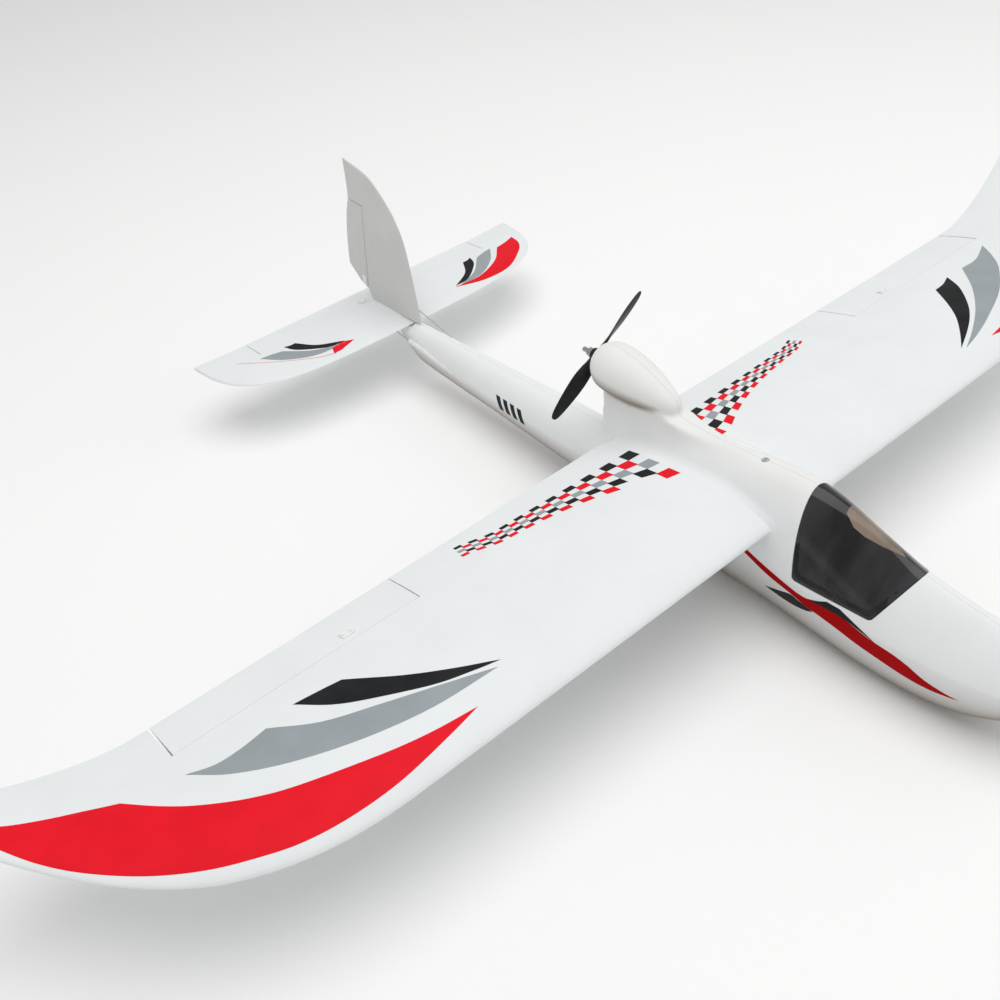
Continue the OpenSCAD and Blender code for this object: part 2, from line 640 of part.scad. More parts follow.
function fin_ring(z) = let (
    a = curve(FIN, z, 1), b = curve(FIN, z, 2), t = curve(FIN, z, 3) / 2
) concat(
    [for (c = SLICE) [t * slab(c), a + (b - a) * c, z]],
    [for (i = [len(SLICE) - 1 : -1 : 0]) [-t * slab(SLICE[i]), a + (b - a) * SLICE[i], z]]);
module fin_solid() { loft([for (i = [len(FIN_Z) - 1 : -1 : 0]) fin_ring(FIN_Z[i])]); }
module fin() {
    color("whitesmoke") difference() {
        fin_solid();
        side_prism(-cut, cut, [[rudder_a[0] - 0.6, rudder_top + 0.6], [rudder_b[0] + 0.4, 86.5],
            [elevator_y - 0.5, FIN[0][0]], [elevator_y - 0.5, 70], [490, 70], [490, rudder_top + 1.5]]);
    }
}
// The front of the rudder is a wedge, so that it clears the fin when it turns
module rudder() {
    color("whitesmoke") intersection() {
        fin_solid();
        side_prism(-cut, cut, [[rudder_a[0] + 0.1, rudder_top - 0.4], rudder_foot[0], rudder_foot[1],
            rudder_foot[2], [490, rudder_top]]);
        hull() for (p = [[rudder_a[0], 215, 0.4], [rudder_b[0], 85, 0.4]]) translate([0, 0, p[1]]) {
            translate([-0.4, p[0] - 0.05 + (p[1] > 100 ? -1.4 : 1), 0]) cube([0.8, 1, 0.1]);
            translate([-12, p[0] + 12, 0]) cube([24, 90, 0.1]);
        }
    }
}

// ---------- wing joint ----------

module spar_tube() {
    color("black") difference() {
        rod_x(-spar_half, spar_half, spar_y, spar_z, spar_r);
        rod_x(-spar_half - 1, spar_half + 1, spar_y, spar_z, spar_r - 1);
    }
}
module rear_wing_pin() { color("black") rod_x(-pin_half, pin_half, pin_y, pin_z, pin_r); }
module wing_clamp_block() {
    color("gray") difference() {
        translate([-13, -186, 99]) cube([26, 44, 16]);
        rod_x(-20, 20, spar_y, spar_z, spar_r + joint_gap);
        translate([0, bolt_y, 90]) cylinder(h = 40, r = bolt_r + joint_gap);
    }
}
module wing_bolt() {
    color("gray") translate([0, bolt_y, bolt_seat_z]) union() {
        translate([0, 0, -41]) cylinder(h = 42, r = bolt_r);
        difference() {
            translate([0, 0, 0.05]) cylinder(h = 3, r = bolt_head_r);
            translate([-2.2, -0.4, 2]) cube([4.4, 0.8, 2]);
        }
    }
}

// ---------- motor and propeller ----------

motor_y = 6;
// Circle of the four screws that hold the motor to its mount
screw_circle = 9;
shaft_r = 1.5;
hub_r = 2.5;
module around_motor(y = 0) { translate([0, y, motor_z]) rotate([-90, 0, 0]) children(); }
module screw_places() {
    for (a = [45 : 90 : 315]) rotate([0, 0, a]) translate([screw_circle, 0, 0]) children();
}
module motor_mount() {
    color("black") around_motor(motor_y) difference() {
        translate([0, 0, -36]) cylinder(h = 3, r = can_radius + 1.4);
        translate([0, 0, -40]) cylinder(h = 10, r = hub_r);
        screw_places() translate([0, 0, -40]) cylinder(h = 10, r = 1.3);
    }
}
module motor_mount_screws() {
    color("silver") around_motor(motor_y) screw_places() {
        translate([0, 0, -37.6]) cylinder(h = 1.6, r = 2.3);
        translate([0, 0, -36.1]) cylinder(h = 6.1, r = 1.25);
    }
}
module motor_stator() {
    color("saddlebrown") around_motor(motor_y) difference() {
        union() {
            translate([0, 0, -33]) cylinder(h = 3.5, r = can_radius - 1.4);
            translate([0, 0, -30]) cylinder(h = 27, r = 4.6);
            translate([0, 0, -24]) cylinder(h = 16, r = 7);
            for (a = [0 : 30 : 330]) rotate([0, 0, a]) {
                translate([6, -1, -24]) cube([3, 2, 16]);
                translate([can_radius - 3.7, -1.9, -24]) cube([1.8, 3.8, 16]);
            }
        }
        translate([0, 0, -40]) cylinder(h = 60, r = 3);
        screw_places() translate([0, 0, -34]) cylinder(h = 10, r = 1.3);
    }
}
module motor_bearings() {
    color("silver") around_motor(motor_y) for (z = [-32, -6]) difference() {
        translate([0, 0, z]) cylinder(h = 2.8, r = 2.98);
        translate([0, 0, z - 1]) cylinder(h = 6, r = shaft_r + 0.05);
    }
}
module motor_bell() {
    color("dimgray") around_motor(motor_y) difference() {
        translate([0, 0, -28]) cylinder(h = 31, r = can_radius);
        translate([0, 0, -29]) cylinder(h = 29, r = can_radius - 1.2);
        translate([0, 0, -5]) cylinder(h = 20, r = shaft_r);
        for (a = [0 : 60 : 300]) rotate([0, 0, a]) translate([8.2, 0, -5]) cylinder(h = 20, r = 2.2);
    }
}
module motor_shaft() {
    color("silver") around_motor(motor_y) translate([0, 0, -33]) cylinder(h = 52 - motor_y, r = shaft_r);
}
module prop_adapter() {
    color("silver") around_motor() difference() {
        union() {
            translate([0, 0, motor_y + 5]) cylinder(h = 17 - motor_y, r = 4);
            translate([0, 0, 21.5]) cylinder(h = 2.5, r = 6.5);
            translate([0, 0, 23.5]) cylinder(h = 23, r = hub_r);
        }
        cylinder(h = 19.1, r = shaft_r);
    }
}
// Propeller blades: [share of the radius, chord, thickness]
BLADE = [
    [0.06, 9, 5.5], [0.14, 10, 4.2], [0.25, 13, 3], [0.38, 15.5, 2.4], [0.52, 16, 2],
    [0.66, 15, 1.7], [0.8, 13, 1.4], [0.92, 10, 1.1], [0.98, 6.5, 0.9], [1, 2.5, 0.8]
];
prop_pitch = 100;
function blade_ring(b) = let (
    r = b[0] * prop_radius, a = min(atan2(prop_pitch, 2 * PI * r), 42), n = 8
) [for (i = [0 : 2 * n - 1]) let (
    s = i < n ? 1 : -1, k = i < n ? i : 2 * n - 1 - i, c = -cos(180 * (k + 0.25) / (n - 0.5)),
    u = b[1] / 2 * c, v = b[2] / 2 * (s > 0 ? 1.2 : 0.8) * s * sqrt(max(0, 1 - c ^ 2)) ^ 0.9
) [r, u * cos(a) - v * sin(a), u * sin(a) + v * cos(a)]];
module propeller() {
    color([0.08, 0.08, 0.09]) around_motor() rotate([0, 0, -prop_park]) difference() {
        union() {
            translate([0, 0, 24]) cylinder(h = 9, r = 6.5);
            for (a = [0, 180]) rotate([0, 0, a]) translate([0, 0, 28.5])
                loft([for (i = [len(BLADE) - 1 : -1 : 0]) blade_ring(BLADE[i])]);
        }
        translate([0, 0, 20]) cylinder(h = 20, r = hub_r);
    }
}
module prop_washer() {
    color("silver") around_motor() difference() {
        translate([0, 0, 33]) cylinder(h = 1.2, r = 5.4);
        translate([0, 0, 30]) cylinder(h = 9, r = hub_r);
    }
}
module prop_nut() {
    color("silver") around_motor() difference() {
        translate([0, 0, 34.2]) cylinder(h = 5, r = 4.6, $fn = 6);
        translate([0, 0, 30]) cylinder(h = 19, r = hub_r);
    }
}

fuselage_left();
fuselage_right();
motor_pod();
canopy_shell();
canopy_frame();
canopy_magnets();
bay_magnets();
battery_tray();
battery_pack();
battery_strap();
speed_controller();
receiver();
servo_tray();
elevator_servo();
rudder_servo();
elevator_servo_arm();
rudder_servo_arm();
elevator_pushrod();
rudder_pushrod();
elevator_guide_tube();
rudder_guide_tube();
spar_tube();
rear_wing_pin();
wing_clamp_block();
wing_bolt();
motor_mount();
motor_mount_screws();
motor_stator();
motor_bearings();
motor_bell();
motor_shaft();
prop_adapter();
propeller();
prop_washer();
prop_nut();
wing_left();
wing_right();
aileron_left();
aileron_right();
aileron_servo_left();
aileron_servo_right();
aileron_servo_arm_left();
aileron_servo_arm_right();
aileron_pushrod_left();
aileron_pushrod_right();
aileron_horn_left();
aileron_horn_right();
aileron_horn_plate_left();
aileron_horn_plate_right();
stabilizer();
elevator();
elevator_horn();
elevator_horn_plate();
fin();
rudder();
rudder_horn();
rudder_horn_plate();
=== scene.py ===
import json
import math

import bmesh
import bpy
import numpy as np
from mathutils import Matrix, Vector
from mathutils.bvhtree import BVHTree
from mathutils.geometry import delaunay_2d_cdt


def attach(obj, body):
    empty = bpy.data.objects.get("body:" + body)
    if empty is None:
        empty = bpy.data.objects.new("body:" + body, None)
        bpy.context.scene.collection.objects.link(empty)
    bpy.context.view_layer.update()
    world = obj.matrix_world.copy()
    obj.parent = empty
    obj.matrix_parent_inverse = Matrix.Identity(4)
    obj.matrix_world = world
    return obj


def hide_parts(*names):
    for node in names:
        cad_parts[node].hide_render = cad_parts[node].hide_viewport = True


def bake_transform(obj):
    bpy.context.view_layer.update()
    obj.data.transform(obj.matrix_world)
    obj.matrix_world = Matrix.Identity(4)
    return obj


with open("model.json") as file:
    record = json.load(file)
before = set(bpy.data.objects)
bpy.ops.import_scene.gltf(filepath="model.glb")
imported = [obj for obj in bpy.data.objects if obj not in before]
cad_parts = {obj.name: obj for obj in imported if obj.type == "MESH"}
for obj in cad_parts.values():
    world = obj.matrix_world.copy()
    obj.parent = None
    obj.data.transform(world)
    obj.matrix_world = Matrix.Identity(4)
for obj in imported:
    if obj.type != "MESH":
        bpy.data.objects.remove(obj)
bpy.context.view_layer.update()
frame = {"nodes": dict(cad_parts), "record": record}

MM = 0.001
NODES = frame["nodes"]

# ------------------------------------------------------------------ driving dimensions, in millimetres
HALF_SPAN = 700.0
ROOT_X = 36.0
WING_LE = -214.0
ROOT_CHORD = 204.0
WING_Z = 106.0
WING_DROP = 11.0
TIP_RISE = 42.0
SWEEP_X = 400.0
RISE_X = 540.0
AILERON_IN, AILERON_OUT = 294.0, 524.0
AILERON_Y = -61.0
SERVO_X = 360.0
STAB_Z = 76.0
STAB_HALF = 237.0
STAB_THICK = 7.0
ELEVATOR_Y = 422.0
ELEVATOR_HALF = 169.0
HINGE_GAP = 1.0
BEVEL = math.tan(math.radians(28))
POD_WALL = 6.0
BOLT_Y = -178.0
MOTOR_Z = 163.0
PROP_RADIUS = 75.0
PROP_PARK = math.radians(35)
SIDES = (("left", 1), ("right", -1))

# ------------------------------------------------------------------ sections, in millimetres
# Fuselage: (y, half width, top, bottom, height of the widest point)
BODY = [
    (-470, 2, 74, 67, 70.5), (-467, 9, 81, 60, 70), (-458, 17, 90, 49, 69),
    (-440, 24, 98.5, 32, 67), (-405, 31, 106, 11, 64), (-370, 34.5, 110.5, 1, 62),
    (-335, 36.5, 117, -2.5, 62), (-290, 37.5, 134, -2.5, 64), (-240, 38, 147, -2.5, 66),
    (-200, 37.5, 147, -2.5, 68), (-150, 36, 141.5, -2.5, 69), (-100, 34, 136, -1, 68),
    (-60, 32, 128, 2, 66), (-28, 29.8, 112, 5.5, 62), (2, 28.3, 91, 9, 57), (20, 27.4, 84.5, 10.5, 55),
    (80, 25, 83.4, 14.5, 53), (130, 23.5, 82, 18, 52.6), (190, 21.3, 80.3, 21.5, 52.2),
    (270, 17.2, 78.8, 23.5, 53), (330, 14, 77, 27, 55), (346, 12.5, 76, 36, 58), (358, 11, 75, 48, 62),
    (366, 9, 74, 56, 64), (374, 5, 72, 62, 66),
]
# Saddle under the pod: (y, half width at the fuselage, half width at the top, height of the top)
SADDLE = [
    (-168, 9, 1, 145.6), (-150, 18, 5, 143.6), (-125, 22.5, 9, 141.5), (-100, 24, 12, 141.5),
    (-80, 24.5, 14, 143), (-60, 24.5, 13, 146), (-40, 22, 13, 146), (-20, 19.5, 13, 146),
    (0, 17, 11, 146), (12, 14, 9, 147),
]
# Motor pod: (y, centre below the motor axis, half width, reach up, reach down)
POD = [
    (-78, 15, 0.5, 0.5, 0.5), (-77, 15, 5, 5, 5), (-74, 14, 8.5, 8.5, 8), (-68, 12.5, 11.8, 11.8, 10.8),
    (-58, 10.5, 15.2, 15.4, 14.2), (-45, 8, 19, 19, 18), (-28, 5.5, 22.5, 22.5, 22),
    (-12, 3.5, 24.3, 24, 24.5), (2, 2.5, 24.8, 24.3, 25), (12, 2, 23, 22.3, 24),
    (18, 1.5, 19.5, 18.8, 22), (21, 1, 17, 16.3, 20),
]
# Fin: (height, leading edge, trailing edge, thickness)
FIN = [
    (79.6, 331, 472, 9), (110, 333, 471, 8.4), (150, 337, 464.5, 7.4), (183, 342.5, 455.5, 6.4),
    (204, 352, 446.5, 5.6), (213, 358, 444.5, 5.2), (235, 380, 442.5, 4), (248, 403, 442.2, 3),
    (255, 440, 442, 1.6),
]
# Stabilizer: (distance from the centre, leading edge)
STAB = [(0, 344), (60, 344.4), (120, 347), (165, 354), (200, 370), (222, 392), (233, 420), (STAB_HALF, 452)]
# Propeller blade: (share of the radius, chord, thickness)
BLADE = [
    (0.06, 9, 5.5), (0.14, 10, 4.2), (0.25, 13, 3), (0.38, 15.5, 2.4), (0.52, 16, 2),
    (0.66, 15, 1.7), (0.8, 13, 1.4), (0.92, 10, 1.1), (0.98, 6.5, 0.9), (1, 2.5, 0.8),
]


def curve(table, v, k):
    """Smooth value of column k of a table at v (cubic Hermite, as in the solid model)."""
    i = 0
    while i < len(table) - 2 and v > table[i + 1][0]:
        i += 1

    def slope(j):
        a, b = table[max(j - 1, 0)], table[min(j + 1, len(table) - 1)]
        return (b[k] - a[k]) / (b[0] - a[0])

    p, q = table[i], table[i + 1]
    h = q[0] - p[0]
    u = (v - p[0]) / h
    m, n = slope(i) * h, slope(i + 1) * h
    return ((2 * u**3 - 3 * u**2 + 1) * p[k] + (u**3 - 2 * u**2 + u) * m
            + (3 * u**2 - 2 * u**3) * q[k] + (u**3 - u**2) * n)


def clamp(v, a=0.0, b=1.0):
    return max(a, min(b, v))


def roof(y):
    """How square the upper half of the fuselage section is."""
    return 1 + 0.4 * clamp((-220 - y) / 70)


def keel(y):
    """How flat the lower half of the fuselage section is."""
    return clamp(0.75 + (y + 300) / 320, 0.75, 1)


def body_point(y, t, w=0.0):
    """Point of the fuselage section at y and angle t, moved in by a wall w."""
    a = curve(BODY, y, 1)
    zm = curve(BODY, y, 4)
    up, down = curve(BODY, y, 2) - zm, zm - curve(BODY, y, 3)
    a, up, down = (max(v - w, 0.3 * v) for v in (a, up, down))
    c, s = abs(math.cos(t)), abs(math.sin(t))
    if t >= 0:
        return a * c ** roof(y), y, zm + up * s ** roof(y)
    return a * c ** keel(y), y, max(w, zm - down * s ** (0.4 + 0.6 * keel(y)))


def body_ring(y, w=0.0, n=44):
    half = [body_point(y, math.radians(90 - 180 * i / n), w) for i in range(n + 1)]
    return half + [(-x, yy, z) for x, yy, z in reversed(half[1:-1])]


def wing_le(x):
    return WING_LE + (227 * ((x - SWEEP_X) / (HALF_SPAN - SWEEP_X)) ** 2.6 if x > SWEEP_X else 0)


def wing_te(x):
    swing = 30 * ((x - RISE_X) / (HALF_SPAN - RISE_X)) ** 1.3 if x > RISE_X else 0
    return WING_LE + ROOT_CHORD - 3 * min(x / SWEEP_X, 1) + swing


def wing_rise(x):
    return TIP_RISE * ((x - RISE_X) / (HALF_SPAN - RISE_X)) ** 1.8 if x > RISE_X else 0


def wing_point(x, c, s):
    """Point at x and share c of the chord, on the upper skin (s = 1) or the lower one (s = -1)."""
    chord = max(wing_te(x) - wing_le(x), 3)
    half = 0.5 * (0.2969 * math.sqrt(c) - 0.126 * c - 0.3516 * c**2 + 0.2843 * c**3 - 0.1036 * c**4)
    camber = 0.21875 * (0.8 * c - c * c) if c < 0.4 else 0.0972222 * (0.2 + 0.8 * c - c * c)
    line = WING_Z + wing_rise(x) - WING_DROP * (c * chord + wing_le(x) - WING_LE) / ROOT_CHORD
    return x, wing_le(x) + c * chord, line + chord * (camber + s * half) + s * 0.6 * c


def wing_top(x, y):
    chord = max(wing_te(x) - wing_le(x), 3)
    return wing_point(x, clamp((y - wing_le(x)) / chord), 1)[2]


def wing_ring(x, n=30, inset=0.0):
    shares = [0.5 + 0.5 * math.cos(math.pi * i / n) for i in range(n)]
    top = [wing_point(x, c, 1) for c in shares]
    low = [wing_point(x, c, -1) for c in [0.0] + shares[::-1]]
    return [(a, y, z - inset) for a, y, z in top] + [(a, y, z + inset) for a, y, z in low]


# ------------------------------------------------------------------ mesh helpers
def link(name, me):
    ob = bpy.data.objects.new(name, me)
    bpy.context.scene.collection.objects.link(ob)
    return ob


def mesh_object(name, verts, faces):
    me = bpy.data.meshes.new(name)
    me.from_pydata([tuple(c * MM for c in v) for v in verts], [], faces)
    bm = bmesh.new()
    bm.from_mesh(me)
    bmesh.ops.remove_doubles(bm, verts=bm.verts, dist=1e-7)
    bmesh.ops.dissolve_degenerate(bm, dist=1e-7, edges=bm.edges)
    bmesh.ops.recalc_face_normals(bm, faces=bm.faces)
    bm.to_mesh(me)
    bm.free()
    return link(name, me)


def loft(name, rings, fan=False):
    m = len(rings[0])
    verts = [p for r in rings for p in r]
    faces = [(i * m + j, i * m + (j + 1) % m, (i + 1) * m + (j + 1) % m, (i + 1) * m + j)
             for i in range(len(rings) - 1) for j in range(m)]
    for i in (0, len(rings) - 1):
        idx = [i * m + j for j in range(m)]
        if fan:
            verts.append(tuple(np.mean([verts[k] for k in idx], axis=0)))
            faces += [(idx[j], idx[(j + 1) % m], len(verts) - 1) for j in range(m)]
        else:
            faces.append(tuple(idx))
    return mesh_object(name, verts, faces)


def prism(name, outline, a, b, axis=0):
    """Prism along X, Y or Z from a to b whose outline is in the two other axes."""
    def place(p, v):
        q = list(p)
        q.insert(axis, v)
        return tuple(q)
    n = len(outline)
    verts = [place(p, a) for p in outline] + [place(p, b) for p in outline]
    faces = [tuple(range(n)), tuple(range(2 * n - 1, n - 1, -1))]
    faces += [(i, (i + 1) % n, n + (i + 1) % n, n + i) for i in range(n)]
    return mesh_object(name, verts, faces)


def rod(name, p, q, r, n=32):
    p, q = Vector(p), Vector(q)
    d = (q - p).normalized()
    u = d.orthogonal().normalized()
    v = d.cross(u)
    rings = [[tuple(c + (u * math.cos(2 * math.pi * k / n) + v * math.sin(2 * math.pi * k / n)) * r)
              for k in range(n)] for c in (p, q)]
    return loft(name, rings)


def bake(ob):
    """Apply the modifiers of an object."""
    dg = bpy.context.evaluated_depsgraph_get()
    me = bpy.data.meshes.new_from_object(ob.evaluated_get(dg))
    ob.modifiers.clear()
    ob.data = me
    return ob


def drop(ob):
    bpy.data.objects.remove(ob)


def boolean(ob, tool, op):
    """Cut, keep or join with a tool, which is used up. Large faces are split into triangles after it."""
    for solver in ("MANIFOLD", "EXACT"):
        m = ob.modifiers.new("cut", "BOOLEAN")
        m.object, m.operation, m.solver = tool, op, solver
        dg = bpy.context.evaluated_depsgraph_get()
        me = bpy.data.meshes.new_from_object(ob.evaluated_get(dg))
        ob.modifiers.clear()
        if len(me.polygons) > 3:
            break
    bm = bmesh.new()
    bm.from_mesh(me)
    bmesh.ops.triangulate(bm, faces=[f for f in bm.faces if len(f.verts) > 4])
    bm.to_mesh(me)
    bm.free()
    ob.data = me
    drop(tool)
    return ob


def copy(ob, name):
    c = ob.copy()
    c.data = ob.data.copy()
    c.name = name
    bpy.context.scene.collection.objects.link(c)
    return c


def join(name, objects):
    verts, faces = [], []
    for o in objects:
        k = len(verts)
        verts += [v.co.copy() for v in o.data.vertices]
        faces += [tuple(i + k for i in f.vertices) for f in o.data.polygons]
        drop(o)
    me = bpy.data.meshes.new(name)
    me.from_pydata(verts, [], faces)
    return link(name, me)


def smooth_shade(ob, angle=32):
    ob.data.shade_smooth()
    ob.data.set_sharp_from_angle(angle=math.radians(angle))
    return ob


def relax(ob, weight, steps, rate=0.5):
    """Laplacian smoothing of the vertices by a weight for each."""
    me = ob.data
    n = len(me.vertices)
    co = np.empty(n * 3)
    me.vertices.foreach_get("co", co)
    co = co.reshape(-1, 3)
    ed = np.empty(len(me.edges) * 2, dtype=np.int64)
    me.edges.foreach_get("vertices", ed)
    a, b = ed[::2], ed[1::2]
    deg = np.maximum(np.bincount(a, minlength=n) + np.bincount(b, minlength=n), 1)
    w = (weight * rate)[:, None]
    for _ in range(steps):
        mean = np.stack([(np.bincount(a, co[b, k], n) + np.bincount(b, co[a, k], n)) / deg
                         for k in range(3)], axis=1)
        co = co + (mean - co) * w
    me.vertices.foreach_set("co", co.ravel())
    me.update()


def tree_of(ob):
    bm = bmesh.new()
    bm.from_mesh(ob.data)
    t = BVHTree.FromBMesh(bm)
    bm.free()
    return t


def inside(p, outline):
    odd = False
    for (xa, ya), (xb, yb) in zip(outline, outline[1:] + outline[:1]):
        if (ya > p[1]) != (yb > p[1]) and p[0] < xa + (xb - xa) * (p[1] - ya) / (yb - ya):
            odd = not odd
    return odd


def mesh_2d(outline, step):
    """Triangles that fill an outline, with points no further apart than about a step."""
    line = []
    for a, b in zip(outline, outline[1:] + outline[:1]):
        length = math.dist(a, b)
        if length < 0.02:
            continue
        n = max(1, math.ceil(length / step))
        line += [(a[0] + (b[0] - a[0]) * i / n, a[1] + (b[1] - a[1]) * i / n) for i in range(n)]
    lo, hi = np.min(line, axis=0), np.max(line, axis=0)
    edge = np.array(line)
    grid = []
    for x in np.arange(lo[0] + step / 2, hi[0], step):
        for y in np.arange(lo[1] + step / 2, hi[1], step):
            if inside((x, y), line) and np.min(np.hypot(edge[:, 0] - x, edge[:, 1] - y)) > step * 0.45:
                grid.append((x, y))
    found = delaunay_2d_cdt([Vector(p) for p in line + grid], [], [list(range(len(line)))], 1, 1e-5)
    return [tuple(v) for v in found[0]], [list(f) for f in found[2]]


def drape(name, outline, axis, targets, lift=0.2, depth=0.3, step=5.0, side=1):
    """Thin slab that lies on the targets' skin. The outline is in the two axes other than axis."""
    other = [k for k in (0, 1, 2) if k != axis]
    flat, cells = mesh_2d(outline, step)
    ray = Vector((0, 0, 0))
    ray[axis] = -side
    top, low = [], []
    for a, b in flat:
        start = Vector((0, 0, 0))
        start[other[0]], start[other[1]], start[axis] = a * MM, b * MM, 0.4 * side
        best = None
        for t in targets:
            hit, no, _, dist = t.ray_cast(start, ray)
            if hit is not None and (best is None or dist < best[2]):
                best = (hit, no, dist)
        if best is None:
            best = (Vector(start), -ray, 0)
            best[0][axis] = 0
        top.append(best[0] - ray * lift * MM)
        low.append(best[0] + ray * depth * MM)
    n = len(flat)
    faces = [tuple(f) for f in cells] + [tuple(n + i for i in reversed(f)) for f in cells]
    sides = [(f[i], f[(i + 1) % len(f)]) for f in cells for i in range(len(f))]
    there = set(sides)
    faces += [(b, a, n + a, n + b) for a, b in sides if (b, a) not in there]
    me = bpy.data.meshes.new(name)
    me.from_pydata(top + low, [], faces)
    bm = bmesh.new()
    bm.from_mesh(me)
    bmesh.ops.recalc_face_normals(bm, faces=bm.faces)
    bm.to_mesh(me)
    bm.free()
    return smooth_shade(link(name, me), 40)


def smooth_line(points, n=6):
    """Rounded line through points (Catmull-Rom), ends included."""
    p = [np.array(points[0]) * 2 - np.array(points[1])] + [np.array(q, float) for q in points]
    p.append(p[-1] * 2 - p[-2])
    out = []
    for i in range(1, len(p) - 2):
        for k in range(n):
            u = k / n
            out.append(tuple(0.5 * (2 * p[i] + (p[i + 1] - p[i - 1]) * u
                                    + (2 * p[i - 1] - 5 * p[i] + 4 * p[i + 1] - p[i + 2]) * u**2
                                    + (3 * p[i] - p[i - 1] - 3 * p[i + 1] + p[i + 2]) * u**3)))
    out.append(tuple(points[-1]))
    return out


def shape(*edges):
    """Closed outline from smooth edges that meet at corners."""
    out = []
    for e in edges:
        out += smooth_line(e)[:-1] if len(e) > 2 else [e[0]]
    return out


# ------------------------------------------------------------------ materials
def material(name, base, rough=0.5, metal=0.0, var=0.04, scale=60.0, grain=400.0, bump=0.02,
             rough_var=0.08, cells=0.0, coat=0.0, spec=0.5, stretch=(1, 1, 1), fleck=None, worn=None,
             tints=()):
    """Procedural finish: a slow colour change, uneven gloss, and grain or foam cells as relief.

    fleck is a colour and the scale of its spots, worn is the colour of the edges, and each tint is a
    coordinate, the range of its Z, an amount and a colour.
    """
    m = bpy.data.materials.new(name)
    m.use_nodes = True
    nt = m.node_tree
    bsdf = next(n for n in nt.nodes if n.type == "BSDF_PRINCIPLED")

    def node(kind, **kw):
        n = nt.nodes.new(kind)
        for k, v in kw.items():
            setattr(n, k, v)
        return n

    co = node("ShaderNodeTexCoord")
    mp = node("ShaderNodeMapping")
    mp.inputs["Scale"].default_value = stretch
    nt.links.new(co.outputs["Object"], mp.inputs["Vector"])
    slow = node("ShaderNodeTexNoise")
    slow.inputs["Scale"].default_value = scale
    slow.inputs["Detail"].default_value = 4
    fine = node("ShaderNodeTexNoise")
    fine.inputs["Scale"].default_value = grain
    fine.inputs["Detail"].default_value = 3
    for n in (slow, fine):
        nt.links.new(mp.outputs[0], n.inputs["Vector"])
    ramp = node("ShaderNodeValToRGB")
    dark = [max(0, c * (1 - var)) for c in base]
    light = [min(1, c * (1 + var) + var * 0.02) for c in base]
    ramp.color_ramp.elements[0].position, ramp.color_ramp.elements[1].position = 0.3, 0.7
    ramp.color_ramp.elements[0].color = (*dark, 1)
    ramp.color_ramp.elements[1].color = (*light, 1)
    nt.links.new(slow.outputs["Fac"], ramp.inputs["Fac"])
    colour = ramp.outputs["Color"]
    if fleck:
        f = node("ShaderNodeTexNoise")
        f.inputs["Scale"].default_value = fleck[1]
        nt.links.new(mp.outputs[0], f.inputs["Vector"])
        fr = node("ShaderNodeValToRGB")
        fr.color_ramp.elements[0].position, fr.color_ramp.elements[1].position = 0.55, 0.7
        nt.links.new(f.outputs["Fac"], fr.inputs["Fac"])
        mix = node("ShaderNodeMixRGB")
        nt.links.new(fr.outputs["Color"], mix.inputs["Fac"])
        nt.links.new(colour, mix.inputs["Color1"])
        mix.inputs["Color2"].default_value = (*fleck[0], 1)
        colour = mix.outputs["Color"]
    if worn:
        geo = node("ShaderNodeNewGeometry")
        wr = node("ShaderNodeValToRGB")
        wr.color_ramp.elements[0].position, wr.color_ramp.elements[1].position = 0.53, 0.62
        nt.links.new(geo.outputs["Pointiness"], wr.inputs["Fac"])
        mix = node("ShaderNodeMixRGB")
        nt.links.new(wr.outputs["Color"], mix.inputs["Fac"])
        nt.links.new(colour, mix.inputs["Color1"])
        mix.inputs["Color2"].default_value = (*worn, 1)
        colour = mix.outputs["Color"]
    for kind, lo, hi, amount, tone in tints:
        xyz = node("ShaderNodeSeparateXYZ")
        nt.links.new(co.outputs[kind], xyz.inputs[0])
        reach = node("ShaderNodeMapRange")
        reach.inputs["From Min"].default_value, reach.inputs["From Max"].default_value = lo, hi
        reach.inputs["To Min"].default_value, reach.inputs["To Max"].default_value = 0.0, amount
        nt.links.new(xyz.outputs["Z"], reach.inputs["Value"])
        mix = node("ShaderNodeMixRGB", blend_type="MULTIPLY")
        nt.links.new(reach.outputs[0], mix.inputs["Fac"])
        nt.links.new(colour, mix.inputs["Color1"])
        mix.inputs["Color2"].default_value = (*tone, 1)
        colour = mix.outputs["Color"]
    nt.links.new(colour, bsdf.inputs["Base Color"])
    rr = node("ShaderNodeMapRange")
    rr.inputs["To Min"].default_value = max(0.02, rough - rough_var)
    rr.inputs["To Max"].default_value = min(1, rough + rough_var)
    nt.links.new(fine.outputs["Fac"], rr.inputs["Value"])
    nt.links.new(rr.outputs[0], bsdf.inputs["Roughness"])
    height = fine.outputs["Fac"]
    if cells:
        vo = node("ShaderNodeTexVoronoi")
        vo.inputs["Scale"].default_value = cells
        nt.links.new(mp.outputs[0], vo.inputs["Vector"])
        add = node("ShaderNodeMath", operation="MULTIPLY_ADD")
        nt.links.new(vo.outputs["Distance"], add.inputs[0])
        add.inputs[1].default_value = 1.2
        nt.links.new(fine.outputs["Fac"], add.inputs[2])
        height = add.outputs[0]
    bu = node("ShaderNodeBump")
    bu.inputs["Strength"].default_value = min(1.0, bump * 10)
    bu.inputs["Distance"].default_value = 0.0004
    nt.links.new(height, bu.inputs["Height"])
    nt.links.new(bu.outputs[0], bsdf.inputs["Normal"])
    bsdf.inputs["Metallic"].default_value = metal
    bsdf.inputs["Coat Weight"].default_value = coat
    bsdf.inputs["Coat Roughness"].default_value = 0.08
    bsdf.inputs["Specular IOR Level"].default_value = spec
    return m


def foam(name, base, var=0.018, tints=()):
    """Moulded foam with a fine relief of closed cells."""
    return material(name, base, 0.55, var=var, scale=22, grain=900, bump=0.018, cells=330, spec=0.2,
                    tints=tints)


